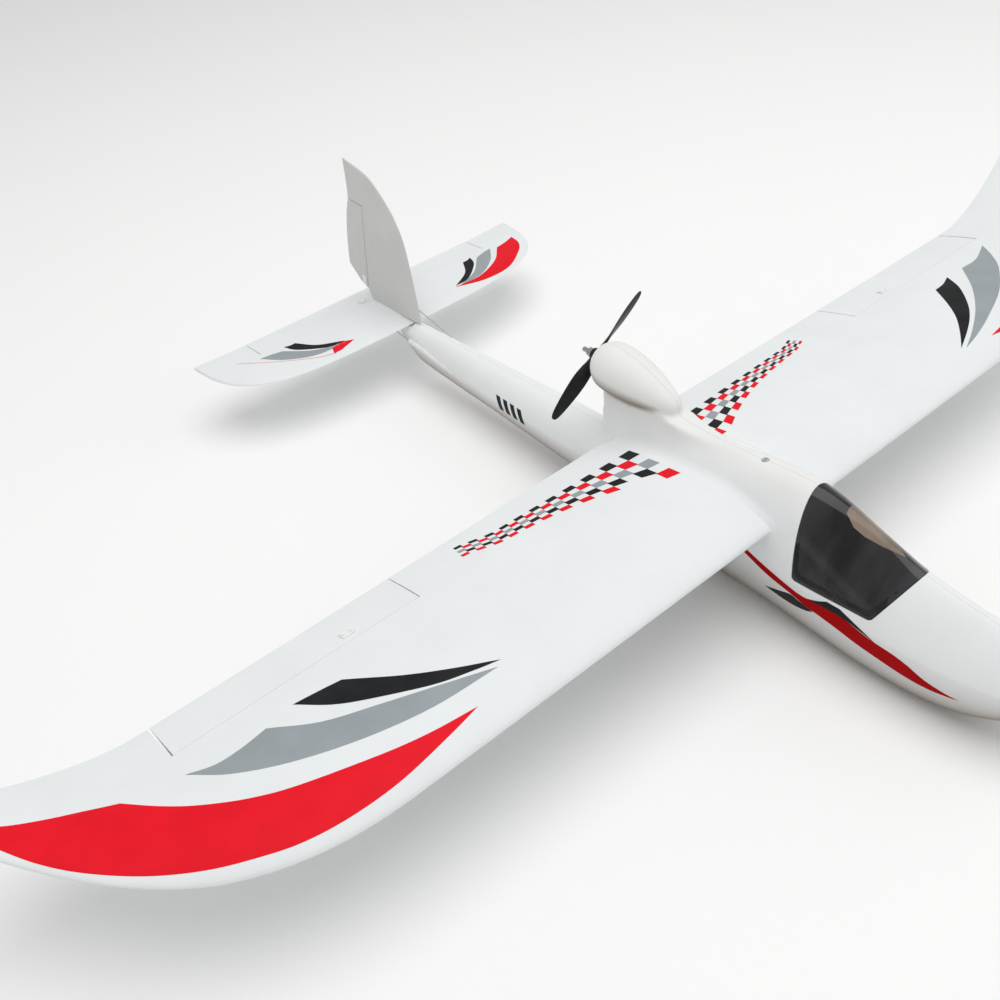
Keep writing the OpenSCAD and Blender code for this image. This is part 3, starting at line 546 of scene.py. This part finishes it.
def paint(name, base, rough=0.5, var=0.05, scale=35, spec=0.12):
    """Printed film on the foam, with the cells just showing through."""
    return material("decal_" + name, base, rough, var=var, scale=scale, grain=700, bump=0.008, cells=330,
                    spec=spec)


# Finish of each slot: colour, roughness, and what differs from the plain procedural plastic
FINISH = {
    "canopy_plastic": ((0.009, 0.0095, 0.0108), 0.09, dict(
        var=0.9, scale=13, grain=300, bump=0.001, rough_var=0.03, spec=0.42, stretch=(1.0, 2.4, 0.8))),
    "canopy_rim": ((0.003, 0.003, 0.0035), 0.16, dict(var=0.4, scale=60, grain=300, bump=0.004, spec=0.35)),
    "canopy_clear": ((0.20, 0.152, 0.112), 0.12, dict(var=0.4, scale=30, grain=300, bump=0.001, spec=0.4)),
    "black_plastic": ((0.025, 0.025, 0.026), 0.45, dict(var=0.2, scale=80, grain=900, bump=0.03)),
    "magnet": ((0.72, 0.71, 0.69), 0.22, dict(metal=1, var=0.05, scale=300, grain=900, bump=0.01)),
    "plywood": ((0.58, 0.42, 0.25), 0.65, dict(
        var=0.22, scale=90, grain=420, bump=0.05, stretch=(8, 0.7, 3), fleck=((0.40, 0.26, 0.13), 260))),
    "battery_wrap": ((0.03, 0.07, 0.3), 0.22, dict(var=0.15, scale=60, grain=300, bump=0.02, coat=0.4)),
    "strap": ((0.02, 0.02, 0.021), 0.9, dict(var=0.3, scale=500, grain=1600, bump=0.09)),
    "heat_shrink": ((0.03, 0.035, 0.035), 0.4, dict(var=0.2, scale=120, grain=300, bump=0.05)),
    "grey_plastic": ((0.44, 0.45, 0.455), 0.42, dict(var=0.08, scale=120, grain=900, bump=0.02)),
    "servo_case": ((0.02, 0.035, 0.12), 0.3, dict(var=0.12, scale=120, grain=700, bump=0.015)),
    "white_plastic": ((0.80, 0.80, 0.78), 0.4, dict(var=0.04, scale=200, grain=900, bump=0.015)),
    "steel": ((0.56, 0.56, 0.55), 0.3, dict(
        metal=1, var=0.1, scale=200, grain=600, bump=0.02, stretch=(1, 0.05, 1))),
    "guide_tube": ((0.78, 0.79, 0.77), 0.45, dict(var=0.03, scale=120, grain=600, bump=0.01)),
    "carbon": ((0.02, 0.02, 0.022), 0.35, dict(
        var=0.35, scale=500, grain=1500, bump=0.03, stretch=(0.05, 1, 1))),
    "anodised": ((0.05, 0.05, 0.055), 0.3, dict(
        metal=0.9, var=0.15, scale=200, grain=900, bump=0.015, worn=(0.3, 0.3, 0.3))),
    "windings": ((0.42, 0.17, 0.05), 0.35, dict(metal=0.6, var=0.3, scale=400, grain=1400, bump=0.08)),
    "aluminium": ((0.40, 0.40, 0.40), 0.33, dict(metal=1, var=0.1, scale=250, grain=900, bump=0.02)),
    "propeller_plastic": ((0.008, 0.008, 0.0085), 0.34, dict(
        var=0.25, scale=150, grain=700, bump=0.012, spec=0.25)),
    "horn_plastic": ((0.82, 0.83, 0.82), 0.4, dict(var=0.04, scale=200, grain=900, bump=0.02)),
}
M = {name: material(name, base, rough, **more) for name, (base, rough, more) in FINISH.items()}
M["foam"] = foam("foam", (0.80, 0.825, 0.83))
# Painted shade: the fin and rudder get a greyer copy of the foam, standing in for the shade on their sides
M["foam_fin_shaded"] = foam("foam_fin_shaded", (0.64, 0.645, 0.625), var=0.025)
# Painted shade: the skin is darkened towards brown where it faces down, most on the belly; the top of the
# saddle has yellowed
PAINTED_BELLY_SHADE = ("Normal", 0.05, -0.5, 0.95, (0.32, 0.27, 0.22))
YELLOWED = ("Object", 0.126, 0.142, 0.9, (0.975, 0.965, 0.925))
M["foam_body"] = foam("foam_body", (0.83, 0.845, 0.85), tints=(PAINTED_BELLY_SHADE, YELLOWED))
DECAL = {
    "red": paint("red", (0.80, 0.004, 0.016)),
    "black": paint("black", (0.010, 0.011, 0.012), var=0.2),
    "grey": paint("grey", (0.32, 0.355, 0.375)),
    # Painted shade: the flank stripes get a darker copy of the red, standing in for the shade on the fuselage
    # sides
    "flank_red_shaded": paint("flank_red_shaded", (0.37, 0.0008, 0.002), 0.6, var=0.06, spec=0.04),
    "pink": paint("pink", (0.78, 0.2, 0.22), var=0.06, scale=60),
}


def dress(ob, mat):
    ob.data.materials.clear()
    ob.data.materials.append(mat)
    return ob


def place(ob, body, slot, *nodes, mat=None):
    dress(ob, mat or M[slot])
    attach(ob, body)
    if nodes:
        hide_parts(*nodes)
    return ob


for entry in frame["record"]["subparts"]:
    ob = NODES[entry["node"]]
    for i in range(len(ob.material_slots)):
        ob.material_slots[i].link = "OBJECT"
        ob.material_slots[i].material = M[entry["material_slot"]]

# ------------------------------------------------------------------ fuselage and pod
# Stations along the fuselage, closer together at the nose
NOSE_Y = [-470, -469, -467.5, -465, -462, -458]
ys = sorted(set(NOSE_Y + [float(v) for v in np.arange(-454, 374, 4.5)] + [366, 370, 374]))


def body_top(x, y):
    """Height of the fuselage's upper skin at x and y, near enough for the foot of the saddle."""
    a, zm = curve(BODY, y, 1), curve(BODY, y, 4)
    return zm + (curve(BODY, y, 2) - zm) * math.sqrt(max(0, 1 - (x / a) ** 2))


def saddle_rings():
    rings = []
    for y in np.linspace(SADDLE[0][0], SADDLE[-1][0], 60):
        b, m, top = (curve(SADDLE, y, k) for k in (1, 2, 3))
        b, m = max(b, 1), max(m, 0.6)
        edge = body_top(b, y) - 3
        side = []
        for w in np.linspace(0, 1, 13):
            side.append((b + (m - b) * (1 - (1 - w) ** 1.6), y, edge + (top - edge) * w))
        rings.append(side + [(-x, yy, z) for x, yy, z in reversed(side)])
    return rings


def pod_ring(y, n=64):
    drop, a, up, down = (max(curve(POD, y, k), 0.5) for k in (1, 2, 3, 4))
    ring = []
    for k in range(n):
        c, s = math.cos(2 * math.pi * k / n), math.sin(2 * math.pi * k / n)
        ring.append((a * c, y, MOTOR_Z - drop + (up if s > 0 else down) * s))
    return ring


def wing_stub(s):
    """Root of a wing inside the fuselage, a little thinner than the panel that covers it."""
    stations = (12, 20, 28, ROOT_X)
    return loft("stub", [[(s * x, y, z) for x, y, z in wing_ring(v, inset=0.35)] for v in stations])


def fused_body():
    """Fuselage, wing stubs, saddle and motor pod as one skin, with soft fillets between them."""
    pod_y = [*np.linspace(-78, -74, 9), *np.linspace(-73, 21, 48)]
    parts = [loft("skin", [body_ring(y) for y in ys], fan=True), wing_stub(1), wing_stub(-1),
             loft("pylon", saddle_rings()), loft("pod", [pod_ring(y) for y in pod_y])]
    trees = [tree_of(part) for part in parts]
    whole = join("fuselage", parts)
    m = whole.modifiers.new("fuse", "REMESH")
    m.mode, m.voxel_size, m.adaptivity = "VOXEL", 0.0015, 0.0
    bake(whole)
    # A point close to two parts lies in the corner between them, and is smoothed the more for it
    second = np.array([sorted(t.find_nearest(v.co)[3] for t in trees)[1] for v in whole.data.vertices])
    co = np.array([v.co for v in whole.data.vertices])
    wing_side = (np.abs(co[:, 0]) > 0.024) & (co[:, 2] < 0.128)
    weight = np.clip(1 - second / np.where(wing_side, 0.0075, 0.013), 0, 1)
    weight = weight * weight * (3 - 2 * weight)
    rear = co[:, 1] > 0.0085
    weight[rear] *= 0.15
    under_pod = (co[:, 1] > -0.08) & (co[:, 1] < 0.02) & (co[:, 2] > 0.126)
    weight[under_pod] *= np.where(co[under_pod, 2] > 0.150, 0.03, 0.2)
    relax(whole, weight, 90)
    relax(whole, np.where(rear, 0.2, 1.0), 3)
    return whole


def hatch_tool(gap):
    """Side profile of the canopy opening with rounded corners, smaller by a gap."""
    outline = [(-242 - gap, 71 + gap), (-231 - gap, 165), (-363 + gap, 165), (-318 + gap, 73 + gap)]
    tool = prism("hatch", outline, -60, 60)
    m = tool.modifiers.new("round", "BEVEL")
    m.width, m.segments, m.limit_method = 0.0035, 5, "ANGLE"
    return bake(tool)


def fuselage():
    """The two foam halves, with the bay, the canopy opening, the motor bore and the tail seat cut out."""
    whole = fused_body()
    seat_z = STAB_Z - STAB_THICK / 2 - 0.1
    bay = loft("bay", [body_ring(y, POD_WALL) for y in ys if -452 < y < -60], fan=True)
    boolean(whole, bay, "DIFFERENCE")
    boolean(whole, hatch_tool(0.0), "DIFFERENCE")
    boolean(whole, rod("bore", (0, -32, MOTOR_Z), (0, 40, MOTOR_Z), 13.5, 64), "DIFFERENCE")
    boolean(whole, rod("well", (0, BOLT_Y, 142), (0, BOLT_Y, 160), 3.4), "DIFFERENCE")
    seat = [(341.5, seat_z), (400, seat_z), (400, 100), (341.5, 100)]
    boolean(whole, prism("seat", seat, -60, 60), "DIFFERENCE")
    halves = []
    for side, s in SIDES:
        half = copy(whole, "fuselage_%s_foam" % side)
        box = prism("side", [(-500, -20), (400, -20), (400, 220), (-500, 220)], s * 0.1, s * 90)
        boolean(half, box, "INTERSECT")
        halves.append(smooth_shade(half, 38))
    drop(whole)
    return halves


left, right = fuselage()
place(left, "airframe", "foam", "fuselage_left", "motor_pod", mat=M["foam_body"])
place(right, "airframe", "foam", "fuselage_right", mat=M["foam_body"])

# ------------------------------------------------------------------ wing panels and ailerons
HINGE_Z = wing_top(SERVO_X, AILERON_Y)
# Stations along the span, closer together towards the tip
xs = [ROOT_X - 2.5, *np.arange(ROOT_X, RISE_X, 12.0), *np.arange(RISE_X, 660, 6.0),
      *np.arange(660, HALF_SPAN, 2.5), 698.5, 699.6, HALF_SPAN]


def mirrored(outline, s):
    return [(s * x, y) for x, y in outline]


def wing_solid(s):
    return loft("wing", [[(s * x, y, z) for x, y, z in wing_ring(v)] for v in xs])


def wing_half(side, s):
    """Wing panel, its aileron with a bevelled front, and the web of the live hinge between them."""
    y, z = AILERON_Y, HINGE_Z
    front = y + HINGE_GAP
    panel = wing_solid(s)
    blank = copy(panel, "aileron_" + side + "_foam")
    hole = [(y, 130), (y, 60), (40, 60), (40, 130)]
    boolean(panel, prism("cut", hole, s * (AILERON_IN - 0.5), s * (AILERON_OUT + 0.5)), "DIFFERENCE")
    pocket = [(-147, 80), (-111, 80), (-111, z + 7), (-147, z + 7)]
    boolean(panel, prism("pocket", pocket, s * (SERVO_X - 30), s * (SERVO_X + 4)), "DIFFERENCE")
    panel.name = "wing_" + side + "_foam"
    place(smooth_shade(panel), "airframe", "foam", "wing_" + side)
    bevelled = [(front, 130), (front, z - 1), (front + 16 * BEVEL, z - 17), (40, z - 17), (40, 130)]
    boolean(blank, prism("keep", bevelled, s * (AILERON_IN + 0.5), s * (AILERON_OUT - 1.6)), "INTERSECT")
    place(smooth_shade(blank), "aileron_" + side, "foam", "aileron_" + side)
    rings = []
    for x in np.linspace(AILERON_IN + 0.7, AILERON_OUT - 1.4, 24):
        ya, yb = y - 0.3, front + 0.1
        rings.append([(s * x, ya, wing_top(x, ya) - 0.35), (s * x, yb, wing_top(x, yb) - 0.35),
                      (s * x, yb, wing_top(x, y) - 1.3), (s * x, ya, wing_top(x, y) - 1.3)])
    web = loft("aileron_web_" + side, rings)
    dress(web, M["foam"])
    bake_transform(web)
    return tree_of(panel)


wings = {side: wing_half(side, s) for side, s in SIDES}

# ------------------------------------------------------------------ tail
SHARES = [1, 0.97, 0.9, 0.8, 0.7, 0.6, 0.45, 0.3, 0.2, 0.12, 0.07, 0.04, 0.02, 0.008, 0.0]


def slab(c):
    """Share of the full thickness at share c of the chord: round in front, thinner behind."""
    nose = math.sqrt(c * 6) if c < 0.06 else 0.6 + 0.4 * math.sin(min(1, (c - 0.06) / 0.2) * math.pi / 2)
    return min(1, nose, 0.25 + (1 - c) * 1.875)


def stab_ring(x):
    a = curve(STAB, abs(x), 1)
    b = 458 if abs(x) < 165 else 458 + 4 * ((abs(x) - 165) / (STAB_HALF - 165)) ** 2
    t = STAB_THICK / 2 * (1 - 0.45 * clamp((abs(x) - 205) / (STAB_HALF - 205)) ** 2)
    top = [(x, a + (b - a) * c, STAB_Z + t * slab(c)) for c in SHARES]
    return top + [(x, a + (b - a) * c, STAB_Z - t * slab(c)) for c in SHARES[-2::-1]]


# Distances from the tip where the stabilizer is drawn, closer together than further in
TIP = (32, 27, 23, 19, 16, 13, 10, 8, 6, 4, 2.5, 1.3, 0.5, 0)
sx = [*np.linspace(0, 200, 26), *(STAB_HALF - d for d in TIP)]
stab = loft("stabilizer_foam", [stab_ring(x) for x in [-v for v in sx[:0:-1]] + sx])
elevator = copy(stab, "elevator_foam")
top, front = STAB_Z + STAB_THICK / 2, ELEVATOR_Y + HINGE_GAP
hole = [(ELEVATOR_Y, 100), (ELEVATOR_Y, 60), (480, 60), (480, 100)]
boolean(stab, prism("cut", hole, -ELEVATOR_HALF - 0.5, ELEVATOR_HALF + 0.5), "DIFFERENCE")
bevelled = [(front, top + 5), (front, top - 1), (front + 12 * BEVEL, top - 13), (480, top - 13),
            (480, top + 5)]
boolean(elevator, prism("keep", bevelled, -ELEVATOR_HALF + 0.5, ELEVATOR_HALF - 0.5), "INTERSECT")
place(smooth_shade(stab), "airframe", "foam", "stabilizer")
place(smooth_shade(elevator), "elevator", "foam", "elevator")
web_section = [(ELEVATOR_Y - 0.2, top - 0.3), (front + 0.2, top - 0.3), (front + 0.2, top - 1.3),
               (ELEVATOR_Y - 0.2, top - 1.3)]
web = loft("elevator_web", [[(x, y, z) for y, z in web_section] for x in (-168.6, 0, 168.6)])
dress(web, M["foam"])
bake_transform(web)


def fin_ring(z):
    a, b, t = curve(FIN, z, 1), curve(FIN, z, 2), curve(FIN, z, 3) / 2
    side = [(t * slab(c), a + (b - a) * c, z) for c in SHARES]
    return side + [(-t * slab(c), a + (b - a) * c, z) for c in SHARES[-2::-1]]


def wedge_ring(nose, side, z):
    """Section of the wedge that the front of the rudder is cut to."""
    return [(-0.4, nose, z), (0.4, nose, z), (12, side, z), (12, 520, z), (-12, 520, z), (-12, side, z)]


fz = [*np.linspace(FIN[0][0], 240, 60), 243, 246, 248.5, 250.5, 252, 253.3, 254.3, 255]
fin = loft("fin_foam", [fin_ring(z) for z in fz])
rudder = copy(fin, "rudder_foam")
foot = ELEVATOR_Y - 0.5
fin_cut = [(413.4, 204.9), (431.4, 86.5), (foot, FIN[0][0]), (foot, 70), (490, 70), (490, 205.8)]
boolean(fin, prism("cut", fin_cut, -20, 20), "DIFFERENCE")
rudder_side = [(414.1, 203.9), (431.2, 90.5), (449, 96.5), (474, 116), (490, 204.3)]
boolean(rudder, prism("keep", rudder_side, -20, 20), "INTERSECT")
boolean(rudder, loft("wedge", [wedge_ring(412.55, 426, 215), wedge_ring(431.95, 443, 85)]), "INTERSECT")
place(smooth_shade(fin), "airframe", "foam", "fin", mat=M["foam_fin_shaded"])
place(smooth_shade(rudder), "rudder", "foam", "rudder", mat=M["foam_fin_shaded"])

# ------------------------------------------------------------------ canopy
shell = loft("canopy_gloss", [body_ring(y) for y in ys if -380 < y < -210], fan=True)
inner = loft("inner", [body_ring(y, 1.5) for y in ys if -384 < y < -206], fan=True)
boolean(shell, inner, "DIFFERENCE")
boolean(shell, hatch_tool(0.4), "INTERSECT")
place(smooth_shade(shell, 30), "canopy", "canopy_plastic", "canopy_shell")
canopy_tree = [tree_of(shell)]
CLEAR = [(-5.4, -265.5), (8, -263.5), (11.5, -283), (5.5, -304), (-0.6, -320), (-2.4, -315), (-6.3, -302),
         (-8.8, -287), (-9.2, -276)]
RIM = [(-245.4, 75.5), (-242.6, 84), (-234.9, 124), (-238.6, 124), (-246.4, 85), (-249.5, 80.4), (-311.0, 80.0),
       (-314.5, 81.5), (-329.5, 106.5), (-334.8, 106.5), (-319.9, 79.8), (-316, 76.2), (-312, 75.6)]
patch = drape("canopy_clear", CLEAR, 2, canopy_tree, lift=0.4, step=1.5)
place(patch, "canopy", "canopy_plastic", mat=M["canopy_clear"])
for side, s in SIDES:
    rim = drape("canopy_rim_" + side, RIM, 0, canopy_tree, lift=0.15, step=4, side=s)
    place(rim, "canopy", "canopy_plastic", mat=M["canopy_rim"])


# ------------------------------------------------------------------ propeller
def blade_rings():
    rings = []
    for f in [*np.linspace(0.06, 0.96, 34), 0.975, 0.985, 0.993, 1.0]:
        r, chord, thick = f * PROP_RADIUS, curve(BLADE, f, 1), curve(BLADE, f, 2)
        a = min(math.atan2(100, 2 * math.pi * r), math.radians(42))
        ring = []
        for i in range(28):
            c, s = math.cos(math.pi * (i + 0.5) / 14), math.sin(math.pi * (i + 0.5) / 14)
            u, v = chord / 2 * c, thick / 2 * (1.2 if s > 0 else 0.8) * s
            ring.append((r, u * math.cos(a) - v * math.sin(a), u * math.sin(a) + v * math.cos(a)))
        rings.append(ring)
    return rings


def around(points, turn):
    """From the propeller's own frame (axis along Z) to the motor axis."""
    out = []
    for x, y, z in points:
        xx = x * math.cos(turn) - y * math.sin(turn)
        yy = x * math.sin(turn) + y * math.cos(turn)
        out.append((xx, z, MOTOR_Z - yy))
    return out


def circle(r, z, n=48):
    return [(r * math.cos(2 * math.pi * i / n), r * math.sin(2 * math.pi * i / n), z) for i in range(n)]


BLADE_Z = 28.5
blades = []
for k in (0, math.pi):
    rings = [[(x, y, z + BLADE_Z) for x, y, z in ring] for ring in blade_rings()]
    blades.append(loft("blade", [around(ring, k - PROP_PARK) for ring in rings]))
# Hub: (distance along the shaft, radius)
HUB = ((24, 5.6), (24.4, 6.3), (25, 6.5), (32, 6.5), (32.6, 6.3), (33, 5.6))
hub = loft("hub", [around(circle(r, z), 0) for z, r in HUB])
prop = boolean(hub, blades[0], "UNION")
boolean(prop, blades[1], "UNION")
boolean(prop, rod("bore", (0, 20, MOTOR_Z), (0, 40, MOTOR_Z), 2.52), "DIFFERENCE")
prop.name = "propeller_moulded"
place(smooth_shade(prop, 40), "rotor", "propeller_plastic", "propeller")

# ------------------------------------------------------------------ decals
# Outlines in millimetres, for the port side
RED_WING = shape([(337, -191), (376, -186), (415, -177), (469, -159), (501, -143), (529, -122), (550, -101),
                  (571, -76)],
                 [(571, -76), (594, -65), (618, -55), (641, -44), (660, -30), (674, -15)],
                 [(674, -15), (662, -38), (649, -63), (634, -88), (614, -113), (585, -141), (554, -164),
                  (524, -181), (493, -194), (457, -201), (415, -202), (366, -196), (337, -191)])
BLACK_WING = shape([(297, -170), (329, -151), (360, -128), (394, -95)], [(394, -95), (415, -91), (434, -88)],
                   [(434, -88), (414, -112), (390, -130), (350, -153), (319, -164), (297, -170)])
GREY_WING = shape([(303, -174), (344, -158), (388, -140), (429, -121), (461, -94)],
                  [(461, -94), (484, -97), (505, -96), (525, -87)],
                  [(525, -87), (501, -113), (465, -137), (417, -157), (362, -170), (303, -174)])
GREY_SIDE = {"right": GREY_WING, "left": shape(
    [(300, -186), (331, -173), (367, -154), (405, -127), (443, -92)], [(443, -92), (470, -92), (507, -78)],
    [(507, -78), (485, -103), (460, -125), (415, -152), (366, -170), (331, -180), (300, -186)])}
BLACK_SIDE = {"right": BLACK_WING, "left": shape(
    [(296, -183), (317, -168), (340, -149), (360, -127), (383, -98)], [(383, -98), (398, -97), (416, -91)],
    [(416, -91), (399, -116), (371, -143), (350, -158), (327, -170), (296, -183)])}
RED_STAB = shape([(81, 368), (120, 367), (158, 383), (183, 408)], [(183, 408), (200, 411), (215, 416)],
                 [(215, 416), (210, 396), (195, 379), (160, 358), (119, 356), (81, 368)])
GREY_STAB = shape([(86, 366), (121, 380), (148, 407)], [(148, 407), (162, 411), (175, 413)],
                  [(175, 413), (155, 388), (124, 369), (86, 366)])
BLACK_STAB = shape([(84, 370), (112, 387), (128, 411)], [(128, 411), (135, 411), (142, 414)],
                   [(142, 414), (134, 396), (106, 373), (84, 370)])
RED_TIP = [(75, 364), (89, 371), (104, 367), (108, 357), (98, 357)]
STRIP = [(106, 356.4), (130, 366.5), (165, 393), (200, 426)]


def decal(name, outline, colour, targets, axis=2, side=1, step=3.0):
    ob = drape(name, outline, axis, targets, step=step, side=side)
    return place(ob, "airframe", "foam", mat=DECAL[colour])


stab_tree, body_trees = tree_of(stab), [tree_of(left), tree_of(right)]
for side, s in SIDES:
    wt = [wings[side]]
    decal("swoosh_red_" + side, mirrored(RED_WING, s), "red", wt)
    decal("swoosh_black_" + side, mirrored(BLACK_SIDE[side], s), "black", wt)
    decal("swoosh_grey_" + side, mirrored(GREY_SIDE[side], s), "grey", wt)
    decal("tail_black_" + side, mirrored(BLACK_STAB, s), "black", [stab_tree])
    decal("tail_grey_" + side, mirrored(GREY_STAB, s), "grey", [stab_tree])
decal("tail_red_left", RED_STAB, "red", [stab_tree])
decal("tail_red_right", mirrored(RED_TIP, -1), "red", [stab_tree])
line = smooth_line(STRIP, 8)
line += [(x - 0.2, y - 0.9) for x, y in reversed(line)]
decal("tail_line_right", mirrored(line, -1), "pink", [stab_tree], step=12)

# Checkered band on each wing: where it starts, width of its first column, height of its rows
CHECKS = {"left": (23.0, 12.9, 0.82), "right": (34.0, 13.1, 1)}
ROW_COLOURS = ("black", "red", "grey", "black", "red")


def checkers(start, width, share):
    """Cells of the band, in 5 rows that narrow towards the tip."""
    def edge(v, r):
        u = clamp((v - 42) / 187)
        aft = -46.5 + 9 * u + 10 * max(0, u - 0.85) / 0.15
        tall = 3.8 + 8.2 * (1 - u) ** 3 + 1.5 * (1 - u)
        return aft - tall * share * r

    x = start
    cells = []
    for k in range(21):
        xa, xb = x, x + width
        for row in range(k % 2, 5, 2):
            over, lean = 0.3, 0.8 * row
            quad = [(xa - over + lean, edge(xa, row - 0.02)), (xb + over + lean, edge(xb, row - 0.02)),
                    (xb + over + lean, edge(xb, row + 1.02)), (xa - over + lean, edge(xa, row + 1.02))]
            cells.append((k, row, quad))
        x, width = xb, width * 0.966
    return cells


for side, s in SIDES:
    groups = {"black": [], "red": [], "grey": []}
    for k, row, quad in checkers(*CHECKS[side]):
        if side == "right" and k == 2 and row == 4:
            continue
        cell = drape("cell", mirrored(quad, s), 2, [wings[side], *body_trees], step=30)
        groups[ROW_COLOURS[row]].append(cell)
    for colour, cells in groups.items():
        ob = join("checker_" + colour + "_" + side, cells)
        place(ob, "airframe", "foam", mat=DECAL[colour])

STRIPE = shape([(-150, 87), (-193, 74), (-220, 66.5), (-244, 60.8), (-254, 59.6)],
               [(-254, 59.6), (-276, 61.5), (-297, 61.5), (-319, 56.5), (-343, 54), (-357, 50.5)],
               [(-357, 50.5), (-371, 44.5), (-386, 41.5), (-400, 40.5)],
               [(-400, 40.5), (-379, 36), (-363, 35.2), (-348, 36.4), (-332, 38.6), (-310, 41.5), (-293, 45),
                (-274, 48.2), (-259, 50.2), (-242, 54.6), (-217, 60), (-192, 69), (-150, 84)],
               [(-150, 84), (-150, 87)])
DART = shape([(-214, 43), (-230, 49), (-242, 53.2), (-250, 51.6), (-259, 49.8)], [(-259, 49.8), (-266, 48.6)],
             [(-266, 48.6), (-259, 44.5), (-244, 41.2), (-229, 41.4), (-214, 43)])
WEDGE = shape([(-258, 59.6), (-268, 63.6), (-278, 69.3)], [(-278, 69.3), (-291, 69.2)],
              [(-291, 69.2), (-308, 63), (-325, 56)],
              [(-325, 56), (-311, 59), (-297, 61.7), (-276, 61.7), (-258, 59.6)])
for (side, s), t in zip(SIDES, body_trees):
    decal("flank_red_shaded_" + side, STRIPE, "flank_red_shaded", [t], axis=0, side=s)
    decal("flank_dart_" + side, DART, "black", [t], axis=0, side=s)
    decal("flank_wedge_" + side, WEDGE, "black", [t], axis=0, side=s)
# Plain slanted bars on the starboard side of the boom
for k in range(4):
    y = 165 - 12 * k
    bar = [(y, 46), (y - 7, 46), (y - 1, 62), (y + 6, 62)]
    decal("boom_bar_%d" % (k + 1), bar, "black", [body_trees[1]], axis=0, side=-1)

# ------------------------------------------------------------------ floor, light, camera
bpy.ops.mesh.primitive_plane_add(size=30, location=(0, 0, -0.0002))
floor = bpy.context.object
floor.name = "floor"
dress(floor, material("floor", (0.95, 0.95, 0.945), 0.8, var=0.004, scale=2, grain=60, bump=0.0, spec=0.1))

scene = bpy.context.scene
scene.view_settings.view_transform = "Standard"
world = bpy.data.worlds.new("studio")
scene.world = world
world.use_nodes = True
bg = next(n for n in world.node_tree.nodes if n.type == "BACKGROUND")
bg.inputs["Color"].default_value = (1.0, 1.0, 1.0, 1)
bg.inputs["Strength"].default_value = 0.57


def lamp(name, at, aim, size, power):
    data = bpy.data.lights.new(name, "AREA")
    data.shape, data.size, data.energy = "DISK", size, power
    ob = bpy.data.objects.new(name, data)
    scene.collection.objects.link(ob)
    ob.location = at
    ob.rotation_euler = (Vector(aim) - Vector(at)).to_track_quat("-Z", "Y").to_euler()


lamp("overhead", (0.0, -0.2, 2.8), (0, 0, 0), 3.0, 42)
lamp("port_fill", (2.2, -0.9, 1.5), (0, -0.1, 0.1), 1.6, 5)

# Camera: where it stands, its azimuth, its elevation and its roll
STAND = (-0.6162, -0.637, 0.744)
AZ, EL, ROLL = math.radians(-35.816), math.radians(39.664), math.radians(-7.038)
back = Vector((math.sin(AZ) * math.cos(EL), -math.cos(AZ) * math.cos(EL), math.sin(EL)))
right_v = (-back).cross(Vector((0, 0, 1))).normalized()
up_v = right_v.cross(-back)
rx = right_v * math.cos(ROLL) + up_v * math.sin(ROLL)
ux = up_v * math.cos(ROLL) - right_v * math.sin(ROLL)
cam_data = bpy.data.cameras.new("camera")
cam_data.sensor_width = 36
cam_data.lens = 39.6
cam_data.clip_start, cam_data.clip_end = 0.01, 100
cam = bpy.data.objects.new("camera", cam_data)
scene.collection.objects.link(cam)
cam.matrix_world = Matrix([(rx[k], ux[k], back[k], STAND[k]) for k in range(3)] + [(0, 0, 0, 1)])
scene.camera = cam
